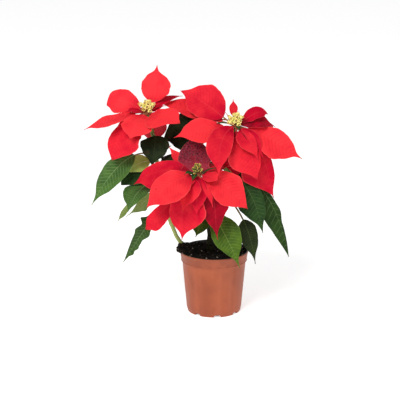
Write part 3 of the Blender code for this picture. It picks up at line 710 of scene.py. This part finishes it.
def leaf_upper(look):
    deep, light, veins, brown = LEAF_LOOKS[look]
    paint = Paint("leaf_upper_" + look, 0.5, 0.04 if look == "black" else 0.12)
    flat = blade_coordinates(paint)
    patches = paint.noise(flat, 0.055, 4, 0.6)
    green = paint.mix(paint.band(patches, 0.3, 0.7), deep, light)
    blotch = paint.band(paint.noise(flat, 0.11, 3, 0.7), 0.58, 0.72)
    green = paint.mix(paint.times(blotch, brown), green, (0.055, 0.022, 0.02))
    green = veined(paint, green, 0.09, (0.6, veins), (0.9, veins))
    green = paint.mix(paint.band(paint.field("edge"), 0.95, 1.0, 0.0, 0.45), green, veins)
    cells = paint.net(flat, 0.55)
    green = paint.mix(paint.band(cells, 0.0, 0.12, 0.16, 0.0), green, veins)
    rough = paint.maths("ADD", paint.times(patches, 0.2), 0.42)
    grain = paint.maths("ADD", cells, paint.noise(flat, 0.7, 3))
    return paint.finish(green, grain, 0.0004, 0.4, rough)


def leaf_lower(name, deep, light, veins):
    paint = Paint(name, 0.65, 0.1)
    flat = blade_coordinates(paint)
    green = paint.mix(paint.noise(flat, 0.06, 3), deep, light)
    green = veined(paint, green, 0.12, (0.6, veins), (0.9, veins))
    return paint.finish(green, paint.noise(flat, 0.5, 4), 0.0004, 0.4)


def stalk_paint(name, green, blush):
    paint = Paint(name, 0.45, 0.4)
    flat = blade_coordinates(paint)
    share = paint.band(paint.noise(flat, 0.12, 3), 0.35, 0.7)
    return paint.finish(paint.mix(share, green, blush), paint.noise(flat, 0.9, 3), 0.0003, 0.3)


def stem_paint(name, low, high):
    """Streaked bark whose colours go from a pair at the bottom to a pair higher up. The bottom pair carries
    painted light on the left stem and painted shade on the main stems.
    """
    paint = Paint(name, 0.65, 0.1)
    place = paint.place()
    wander = paint.times(paint.maths("SUBTRACT", paint.noise(place, 40, 3), 0.5), 0.05)
    level = paint.maths("ADD", paint.height(), wander)
    streaks = paint.noise(paint.streaky_place(0.12), 620, 4, 0.6)
    colour = paint.mix(paint.band(level, 0.15, 0.21), paint.mix(streaks, *low), paint.mix(streaks, *high))
    spots = paint.band(paint.net(place, 240), 0.0, 0.06, 0.2, 0.0)
    colour = paint.mix(spots, colour, high[1])
    return paint.finish(colour, streaks, 0.0006, 0.5)


def terracotta():
    paint = Paint("pot_plastic", 0.5, 0.25)
    place = paint.place()
    clouds = paint.noise(place, 22, 4, 0.55)
    clay = paint.mix(paint.band(clouds, 0.3, 0.7), (0.29, 0.066, 0.027), (0.38, 0.090, 0.038))
    flow = paint.noise(paint.streaky_place(0.06), 45, 2)
    clay = paint.mix(paint.band(flow, 0.4, 0.65, 0.0, 0.3), clay, (0.46, 0.125, 0.065))
    # Darker mottles over the rim band.
    band_mottle = paint.band(paint.noise(place, 75, 4, 0.65), 0.4, 0.65, 0.25, 0.75)
    on_band = paint.band(paint.height(), (BAND_FOOT - 0.2) * MM, (BAND_FOOT + 0.6) * MM)
    band_mottle = paint.times(band_mottle, on_band)
    clay = paint.mix(band_mottle, clay, (0.23, 0.058, 0.030))
    dust = paint.band(paint.noise(place, 330, 5, 0.7), 0.62, 0.74, 0.0, 0.22)
    dust = paint.times(dust, paint.band(paint.height(), (POT_HEIGHT - 20) * MM, POT_HEIGHT * MM))
    clay = paint.mix(dust, clay, (0.10, 0.07, 0.055))
    rough = paint.band(clouds, 0.3, 0.7, 0.42, 0.55)
    return paint.finish(clay, paint.noise(place, 700, 3), 0.0003, 0.25, rough)


def black_plastic():
    paint = Paint("pot_inside", 0.4, 0.45)
    place = paint.place()
    dust = paint.band(paint.noise(place, 260, 5, 0.7), 0.5, 0.75)
    return paint.finish(paint.mix(dust, (0.012, 0.011, 0.010), (0.07, 0.055, 0.045)), dust, 0.0002, 0.3)


def soil_paint():
    paint = Paint("peat", 0.9, 0.2)
    place = paint.place()
    clumps = paint.noise(place, 160, 5, 0.7)
    dark = paint.mix(paint.band(clumps, 0.35, 0.7), (0.002, 0.0015, 0.001), (0.011, 0.007, 0.005))
    flecks = paint.band(paint.noise(place, 900, 3, 0.6), 0.66, 0.74)
    dark = paint.mix(flecks, dark, (0.075, 0.05, 0.03))
    return paint.finish(dark, paint.noise(place, 1100, 4, 0.7), 0.0012, 0.8)


def crumb_paint():
    paint = Paint("peat_crumbs", 0.9, 0.2)
    tone = paint.field("tone")
    dark = paint.mix(paint.band(tone, 0.55, 0.9), (0.003, 0.002, 0.0015), (0.045, 0.026, 0.014))
    dark = paint.mix(paint.band(tone, 0.965, 0.985), dark, (0.42, 0.38, 0.33))
    return paint.finish(dark, paint.noise(paint.place(), 1500, 3), 0.0006, 0.6)


def cup_paint(name, foot, wall, lip, mouth):
    """Cups whose tone runs from 0 at the foot to 1 at the lip, and on to 2 in the mouth."""
    paint = Paint(name, 0.5, 0.3)
    tone = paint.field("tone")
    grain = paint.noise(paint.place(), 500, 3)
    skin = paint.mix(paint.band(tone, 0.0, 0.45), foot, wall)
    skin = paint.mix(paint.band(tone, 0.5, 0.9), skin, lip)
    skin = paint.mix(paint.band(grain, 0.55, 0.75, 0.0, 0.25), skin, foot)
    skin = paint.mix(paint.band(tone, 1.15, 1.6), skin, mouth)
    return paint.finish(skin, grain, 0.0004, 0.3)


def thread_paint():
    """Filaments, pale at the foot and yellow or reddish at the end."""
    paint = Paint("stamens", 0.55, 0.3)
    colour = paint.mix(paint.band(paint.field("tone"), 0.2, 1.0), (0.85, 0.80, 0.36), (0.88, 0.60, 0.12))
    colour = paint.mix(paint.band(paint.field("tone"), 1.4, 1.8), colour, (0.50, 0.08, 0.03))
    return paint.finish(colour, paint.noise(paint.place(), 900, 2), 0.0002, 0.3)


def wall_radius(height):
    """Outer radius of the pot's plain wall."""
    top = RIM_RADIUS - BAND_STEP - LIP_STEP
    return FOOT_RADIUS + (top - FOOT_RADIUS) * height / POT_HEIGHT


def from_lip(*steps):
    """(radius, height) pairs from steps in from the rim and down from the top."""
    return [(RIM_RADIUS - inward, POT_HEIGHT - down) for inward, down in steps]


def pot_profile():
    """(radius, height) pairs from the middle of the underside, up the outside, and down the inside."""
    foot, band = FOOT_RADIUS, BAND_FOOT
    step = wall_radius(band) + BAND_STEP
    outside = [(0, 1.4), (31, 1.4), (33, 0.2), (34, 0), (foot - 1.6, 0), (foot - 0.5, 0.4), (foot, 1.5)]
    outside += [(wall_radius(6.6), 6.6), (wall_radius(7.4) + 0.5, 7.4)]
    outside += [(wall_radius(z) + 0.5 * (1 - z / band), z) for z in (9, 25, 45, 65, 84)]
    outside += [(wall_radius(band - 2.2), band - 2.2), (wall_radius(band) + 0.3, band - 1.2)]
    outside += [(step + out, band + up) for out, up in ((-0.1, -0.5), (0.45, 0.3), (0.5, 1.2), (0.1, 2))]
    outside += from_lip((1.1, 5), (0.6, 3.6), (0.1, 2.6), (0, 1.2), (0.4, 0.3))
    inside = from_lip((1, 0), (1.7, 0.1), (2.3, 0.7), (2.6, 2))
    inside += [(wall_radius(band) - POT_WALL + 0.4, band), (foot - POT_WALL, BASE_THICKNESS)]
    return outside, inside + [(0, BASE_THICKNESS)]


def turned_solid(profile, sides, wobble):
    """Points and faces of a solid turned about Z from a profile, and each face's place along the profile."""
    angles = np.linspace(0, 2 * np.pi, sides, endpoint=False)
    points, rows = [], []
    for radius, height in profile:
        count = sides if radius else 1
        rows.append([len(points) + k % count for k in range(sides)])
        uneven = 1 + wobble * (height / POT_HEIGHT) * np.cos(2 * angles + 0.6)
        x, y = radius * uneven * np.cos(angles), radius * uneven * np.sin(angles)
        points += list(zip(x, y, [height] * count))
    faces, spans = [], []
    for number, (lower, upper) in enumerate(zip(rows, rows[1:])):
        for k in range(sides):
            n = (k + 1) % sides
            faces.append(tuple(dict.fromkeys((lower[k], lower[n], upper[n], upper[k]))))
            spans.append(number)
    return points, faces, spans


def drain_cutter(number):
    """A slot with an arched top through the foot of the pot."""
    angle = 2 * math.pi * (number + 0.15) / DRAIN_HOLES
    out = np.array((math.cos(angle), math.sin(angle), 0))
    side = np.array((-out[1], out[0], 0))
    section = [(-0.5, -2.0), (0.5, -2.0)]
    for k in range(9):
        turn = math.pi * k / 8
        section.append((0.46 * math.cos(turn), DRAIN_HEIGHT * (0.25 + 0.75 * math.sin(turn) ** 0.7)))
    rings = []
    for radius in (FOOT_RADIUS - DRAIN_DEPTH, FOOT_RADIUS + 4):
        rings.append([out * radius + side * (u * DRAIN_WIDTH) + np.array((0, 0, z)) for u, z in section])
    mesh = bpy.data.meshes.new(f"drain_{number}")
    points = [tuple(np.array(p) * MM) for ring in rings for p in ring]
    mesh.from_pydata(points, [], ring_faces(2, len(section)))
    cutter = placed(mesh.name, mesh)
    cutter.hide_render = True
    return cutter


def make_pot():
    outside, inside = pot_profile()
    points, faces, spans = turned_solid(outside + inside, POT_SIDES, 0.002)
    slots = [0 if span < len(outside) - 1 else 1 for span in spans]
    gathered = Gathered()
    gathered.add(points, faces, slots)
    finishes = (terracotta(), black_plastic())
    pot = gathered.make("pot_fine", finishes, ("pot",), sharp=32)
    cutters = [drain_cutter(k) for k in range(DRAIN_HOLES)]
    for cutter in cutters:
        hole = pot.modifiers.new("Slot", "BOOLEAN")
        hole.object = cutter
        hole.operation = "DIFFERENCE"
        hole.solver = "EXACT"
    apply_modifiers(pot)
    for cutter in cutters:
        bpy.data.objects.remove(cutter, do_unlink=True)


def apply_modifiers(item):
    bpy.context.view_layer.update()
    graph = bpy.context.evaluated_depsgraph_get()
    shaped = item.evaluated_get(graph)
    mesh = bpy.data.meshes.new_from_object(shaped, preserve_all_data_layers=True, depsgraph=graph)
    item.modifiers.clear()
    item.data = mesh


def soil_height(radius, angle):
    """The lumpy top of the soil, heaped a little on the left, as in the frame."""
    x, y = radius * math.cos(angle), radius * math.sin(angle)
    lumps = math.sin(x / 5.1 + 0.7) * math.cos(y / 6.3) + 0.7 * math.sin(y / 3.7 + x / 8.3)
    heap = SOIL_HEAP * math.exp(-(((x - HEAP_MIDDLE) / HEAP_SPREAD[0]) ** 2) - (y / HEAP_SPREAD[1]) ** 2)
    return SOIL_LEVEL + SOIL_LUMPS * lumps + heap


def soil_reach(angle):
    """How far the soil's top reaches from the axis, and the height of its outer edge."""
    neck = RIM_RADIUS - SOIL_INSET
    edge = soil_height(neck, angle)
    spill = SOIL_SPILL * min(1.0, max(0.0, edge - POT_HEIGHT - 1.5) / 5)
    return neck + spill, POT_HEIGHT + 0.7 if spill > 0 else edge - 1.2


def soil_surface(radius, angle):
    """A point of the soil's top."""
    reach, rim = soil_reach(angle)
    radius = min(radius, reach)
    share = radius / reach
    x, y = radius * math.cos(angle), radius * math.sin(angle)
    rough = 0.9 * noise.noise(Vector((x, y, 0)) * 0.35) + 0.7 * noise.noise(Vector((x, y, 7)) * 0.9)
    height = soil_height(radius, angle) + rough
    blend = max(0.0, (share - 0.9) / 0.1) ** 2
    return x, y, height * (1 - blend) + rim * blend


def make_soil():
    angles = [2 * math.pi * k / SOIL_SECTORS for k in range(SOIL_SECTORS)]
    inset = POT_WALL + 0.7
    low = SOIL_LEVEL - NECK_DEPTH
    middle, neck = NECK_RADII
    column = [(FOOT_RADIUS - inset, BASE_THICKNESS + 0.3), (wall_radius(low) - inset, low)]
    column += [(middle, low + 10)]
    rings = [[(radius * math.cos(a), radius * math.sin(a), z) for a in angles] for radius, z in column]
    collar = [min(SOIL_LEVEL, soil_reach(a)[1] - 1) for a in angles]
    rings.append([(neck * math.cos(a), neck * math.sin(a), z) for a, z in zip(angles, collar)])
    for k in range(SOIL_RINGS):
        share = 1 - k / SOIL_RINGS
        rings.append([soil_surface(soil_reach(a)[0] * share, a) for a in angles])
    gathered = Gathered()
    gathered.add(rings, ring_faces(len(rings), SOIL_SECTORS))
    gathered.make("soil_fine", (soil_paint(),), ("soil",), sharp=80)


def crumb_shape():
    """Points and faces of a small ball with twenty sides."""
    golden = (1 + math.sqrt(5)) / 2
    points = []
    for a in (-1, 1):
        for b in (-golden, golden):
            points += [(0, a, b), (a, b, 0), (b, 0, a)]
    points = unit(np.array(points, float))
    faces = []
    for i in range(12):
        for j in range(i + 1, 12):
            for k in range(j + 1, 12):
                trio = points[[i, j, k]]
                spans = [np.linalg.norm(trio[m] - trio[m - 1]) for m in range(3)]
                if max(spans) < 1.1:
                    outward = np.dot(np.cross(trio[1] - trio[0], trio[2] - trio[0]), trio[0]) > 0
                    faces.append((i, j, k) if outward else (i, k, j))
    return points, faces


def make_crumbs():
    """Crumbs of peat and a few pale specks, lying on the soil and over the rim on the left."""
    chance = random.Random(CRUMB_SEED)
    ball, faces = crumb_shape()
    gathered = Gathered()
    for number in range(CRUMBS):
        angle = chance.uniform(0, 2 * math.pi)
        share = math.sqrt(chance.random())
        if number % 5 == 0:
            angle = math.pi + chance.gauss(0, 0.5)
            share = chance.uniform(0.85, 1.03)
        reach = soil_reach(angle)[0]
        place = np.array(soil_surface(reach * min(share, 1), angle))
        size = 0.5 + 1.1 * chance.random() ** 2.5
        stretch = np.array([chance.uniform(0.6, 1.5) for _ in range(3)])
        jitter = np.array([[chance.uniform(0.75, 1.25)] for _ in range(12)])
        gathered.add(ball * jitter * stretch * size + place + (0, 0, 0.3 * size), faces, tone=chance.random())
    gathered.make("soil_crumbs", (crumb_paint(),), sharp=30)


def tube_rings(line, sides, bump):
    """Rings round a line of (point, radius) pairs."""
    points = np.array([place for place, _ in line])
    along = unit(np.gradient(points, axis=0))
    side = unit(np.cross(along, (0, 1, 0)))
    other = np.cross(along, side)
    angles = np.linspace(0, 2 * np.pi, sides, endpoint=False)
    rings = []
    for i, (place, radius) in enumerate(line):
        uneven = 1 + 0.03 * np.sin(2 * angles + 0.35 * i) + 0.02 * np.sin(5 * angles + 1.1 * i)
        spread = (radius * uneven * bump(place[2]))[:, None]
        circle = side[i] * np.cos(angles)[:, None] + other[i] * np.sin(angles)[:, None]
        rings.append(place + circle * spread)
    return rings


def joint_swelling(stem):
    """A function of height that swells the stem a little where a leaf grows or grew."""
    heights = [height for carrier, height, _, _ in LEAVES.values() if carrier == stem] + list(SCAR_HEIGHTS)

    def swelling(height):
        return 1 + sum(SWELLING * math.exp(-(((height - h) / SWELLING_REACH) ** 2)) for h in heights)

    return swelling


def make_stems():
    green = ((0.10, 0.17, 0.035), (0.22, 0.30, 0.085))
    # Painted light: the left stem's lower part is a pale lime where light falls on it, partly its own paler
    # green.
    lit_lime = ((0.30, 0.38, 0.10), (0.46, 0.52, 0.20))
    # Painted shade: the base of the main stems is near black, over its own dark brown wood.
    shaded_wood = ((0.004, 0.003, 0.0025), (0.022, 0.016, 0.010))
    stems = (("stem_left", ("left",), lit_lime), ("stem_main", ("trunk", "right", "lower"), shaded_wood))
    for name, parts, low in stems:
        finish = stem_paint(name + "_bark", low, green)
        gathered = Gathered()
        for part in parts:
            rings = tube_rings(smooth_line(STEMS[part], STEM_STEPS), STEM_SIDES, joint_swelling(part))
            gathered.add(rings, ring_faces(len(rings), STEM_SIDES))
        gathered.make(name + "_fine", (finish,), (name,), sharp=80)


def add_ball(gathered, place, radius, slot):
    """Adds a rounded lump."""
    rows, sides = 9, 14
    rings = []
    for k in range(rows):
        turn = math.pi * (k + 0.35) / (rows - 0.3)
        angles = np.linspace(0, 2 * np.pi, sides, endpoint=False)
        flat = math.sin(turn)
        ring = np.stack((flat * np.cos(angles), flat * np.sin(angles), np.full(sides, -math.cos(turn))), -1)
        rings.append(ring * radius + place)
    gathered.add(rings, ring_faces(rows, sides), slot)


def make_bracts(head, number):
    """The bracts of a flower head with the small green leaves and the core that they grow from."""
    chance = random.Random(BRACT_SEED + number)
    centre = np.array(HEADS[head], float)
    core = centre - (0, 0, CORE_DROP)
    gathered = Gathered()
    add_ball(gathered, core, CORE_RADIUS * 0.95, 2)
    for blade in BRACTS[head]:
        root = core + heading_of(blade.tip) * 2
        add_blade(gathered, blade, root, centre + blade.tip, BRACT_RELIEF, BRACT_VEINS, chance)
    for blade in LITTLE[head]:
        root = core + (0, 0, 3) + heading_of(blade.tip) * 3
        tip = centre + blade.tip
        add_blade(gathered, blade, root, tip, LITTLE_RELIEF, BRACT_VEINS, chance, (3, 3, 2))
    # The small leaves among the bracts take the dark look, a green darkened as painted shade deep in the
    # head.
    finishes = (SHADES["bract_upper"], SHADES["bract_lower"], SHADES["bract_stalk"], SHADES["dark"])
    gathered.make(f"bracts_{head}_fine", finishes, (f"bracts_{head}",))


def make_leaf(name, stem, height, look, blade, number):
    chance = random.Random(LEAF_SEED + number)
    centre, radius = stem_place(stem, height)
    heading = turned(heading_of(np.array(blade.tip) - centre), blade.swing)
    gathered = Gathered()
    root = centre + heading * (radius - PETIOLE_SINK)
    add_blade(gathered, blade, root, blade.tip, LEAF_RELIEF, LEAF_VEINS, chance)
    side = "dull_side" if look in DULL_BELOW else "pale_side"
    finishes = (SHADES[look], SHADES[side], SHADES["leaf_stalk"])
    gathered.make(name + "_fine", finishes, (name,))


def directions(axis):
    """The direction along an axis and two across it."""
    along = unit(np.array(axis, float))
    side = unit(np.cross((0, 1, 0.1), along))
    return along, side, np.cross(along, side)


def add_turned(gathered, centre, axis, steps, sides, tones, squeeze=1.0, lobes=0.0, slot=0):
    """Adds a solid of rings square to an axis, from (distance, radius) steps, with a tone for each ring."""
    along, side, other = directions(axis)
    angles = np.linspace(0, 2 * np.pi, sides, endpoint=False)
    rings = []
    for k, (distance, radius) in enumerate(steps):
        spread = radius * (1 + lobes * k / len(steps) * np.cos(5 * angles))
        ring = side * (np.cos(angles) * spread)[:, None]
        ring = ring + other * (np.sin(angles) * spread * squeeze)[:, None]
        rings.append(centre + along * distance + ring)
    gathered.add(rings, ring_faces(len(rings), sides), slot, tone=np.repeat(tones, sides))


def add_thread(gathered, start, direction, length, radius, tone):
    """Adds a filament with a small knob at its end."""
    steps = [(0, radius), (length * 0.7, radius * 0.8), (length * 0.85, radius * 1.5), (length, radius * 1.9)]
    steps += [(length + radius * 1.6, radius * 0.9)]
    add_turned(gathered, start, direction, steps, 6, [0, 0.4, tone, tone, tone], slot=1)


def add_cup(gathered, start, top, chance, radius):
    """Adds one cup with its dark mouth, its lip-shaped gland and its stamens."""
    axis = top - start
    tall = np.linalg.norm(axis)
    wall = ((0, 0, 0.5), (0.35, 0, 0.85), (0.7, 0, 1), (0.9, 0, 0.94))
    mouth = ((1, 0, 1.02), (1, 0.3, 0.84), (1, -0.7, 0.6), (1, -2.2, 0.36))
    steps = [(share * tall + past, wide * radius) for share, past, wide in wall + mouth]
    add_turned(gathered, start, axis, steps, 20, [0, 0.2, 0.4, 0.5, 0.65, 0.65, 1.6, 2], lobes=0.12)
    along, side, other = directions(axis)
    turn = chance.uniform(0, 2 * math.pi)
    out = side * math.cos(turn) + other * math.sin(turn)
    gland = [(0, 0.5), (0.6, 1.3), (1.5, 1.7), (2.0, 1.25), (1.4, 0.5)]
    begin = start + along * 0.72 * tall + out * radius * 0.8
    add_turned(gathered, begin, out + along * 0.5, gland, 12, [0.8, 1, 1, 1, 1.7], squeeze=0.6)
    for _ in range(chance.randint(3, 6)):
        turn = chance.uniform(0, 2 * math.pi)
        spread = chance.uniform(0.15, 1.0)
        away = side * math.cos(turn) + other * math.sin(turn)
        begin = start + along * (tall - 0.8) + away * radius * 0.4 * spread
        length = chance.uniform(1.6, 3.6)
        add_thread(gathered, begin, along + away * 1.1 * spread, length, 0.34, chance.choice((1, 1, 1, 2)))


def make_cyathia(head, number):
    """The cluster of small cups in the middle of a flower head, on a rounded base that leans forward."""
    chance = random.Random(CUP_SEED + number)
    count, wide, deep = CYATHIA[head]
    lean = math.radians(CLUSTER_LEAN)
    axis = np.array((0, -math.sin(lean), math.cos(lean)))
    back = np.array((0, math.cos(lean), math.sin(lean)))
    centre = np.array(HEADS[head], float) - (0, 0, CORE_DROP - CORE_RADIUS - 2.5)
    gathered = Gathered()
    dome = [(1.5, 0.3 * wide), (3.5, 0.54 * wide), (6.5, 0.38 * wide), (7.5, 0.12 * wide)]
    add_turned(gathered, centre, axis, dome, 24, [0, 0, 0, 0], deep / wide)
    add_turned(gathered, centre - (0, 0, 2.2), (0, 0, 1), [(0, 2.6), (4, 3)], 16, [0, 0])
    for k in range(count):
        angle = math.radians(GOLDEN_ANGLE * k)
        share = math.sqrt((k + 0.3) / count)
        out = (np.array((wide * math.cos(angle), 0, 0)) + back * deep * math.sin(angle)) * share
        top = centre + out + axis * (12 - 7 * share * share)
        start = centre + out * 0.45 + axis * (3.5 - share)
        add_cup(gathered, start, top, chance, BUD_RADIUS * chance.uniform(0.85, 1.1))
    finishes = (SHADES["bud" if head == "lower" else "cup"], SHADES["thread"])
    gathered.make(f"cyathia_{head}_fine", finishes, (f"cyathia_{head}",), sharp=60)


def make_floor():
    mesh = bpy.data.meshes.new("floor")
    corners = [(x * FLOOR_REACH, y * FLOOR_REACH, 0) for x, y in ((-1, -1), (1, -1), (1, 1), (-1, 1))]
    mesh.from_pydata(corners, [], [(0, 1, 2, 3)])
    floor = placed("floor", mesh)
    paint = Paint("floor_white", 0.9, 0.1)
    paint.shader.inputs["Emission Color"].default_value = (1, 1, 1, 1)
    paint.shader.inputs["Emission Strength"].default_value = FLOOR_GLOW
    speckle = paint.noise(paint.place(), 3)
    mesh.materials.append(paint.finish(paint.mix(speckle, (0.93, 0.93, 0.93), (0.95, 0.95, 0.95))))


def aimed(item, target):
    direction = Vector(target) - item.location
    item.rotation_euler = direction.to_track_quat("-Z", "Y").to_euler()


def add_light(name, place, size, power):
    data = bpy.data.lights.new(name, "AREA")
    data.size = size
    data.energy = power
    light = placed(name, data)
    light.location = place
    aimed(light, LIGHT_TARGET)


def make_camera():
    data = bpy.data.cameras.new("camera")
    data.lens = CAMERA_LENS
    data.sensor_width = CAMERA_SENSOR
    camera = placed("camera", data)
    lift = math.radians(CAMERA_ELEVATION)
    target = Vector(CAMERA_TARGET) * MM
    camera.location = target + Vector((0, -math.cos(lift), math.sin(lift))) * CAMERA_DISTANCE * MM
    aimed(camera, target)
    bpy.context.scene.camera = camera


def make_stage():
    world = bpy.data.worlds.new("studio")
    world.use_nodes = True
    light = world.node_tree.nodes["Background"]
    light.inputs["Color"].default_value = (1, 1, 1, 1)
    light.inputs["Strength"].default_value = WORLD_STRENGTH
    bpy.context.scene.world = world
    bpy.context.scene.view_settings.view_transform = "Standard"
    for name, (place, size, power) in LIGHTS.items():
        add_light(name, place, size, power)
    make_floor()
    make_camera()


def shades():
    """Every material that more than one piece uses, by name."""
    made = {look: leaf_upper(look) for look in LEAF_LOOKS}
    for name, colours in LOWER_FACES.items():
        made[name + "_side"] = leaf_lower("leaf_lower_" + name, *colours)
    made["leaf_stalk"] = stalk_paint("leaf_stalk", (0.2, 0.28, 0.07), (0.3, 0.16, 0.06))
    made["bract_stalk"] = stalk_paint("bract_stalk", (0.4, 0.05, 0.035), (0.3, 0.2, 0.06))
    made["bract_upper"] = bract_upper()
    made["bract_lower"] = bract_lower()
    for name, colours in CUP_COLOURS.items():
        made[name] = cup_paint(f"cyathium_{name}s", *colours)
    made["thread"] = thread_paint()
    return made


SHADES = shades()
make_pot()
make_soil()
make_crumbs()
make_stems()
for order, head_name in enumerate(HEADS):
    make_bracts(head_name, order)
    make_cyathia(head_name, order)
for order, (leaf_name, leaf_row) in enumerate(LEAVES.items()):
    make_leaf(leaf_name, *leaf_row, order)
make_stage()
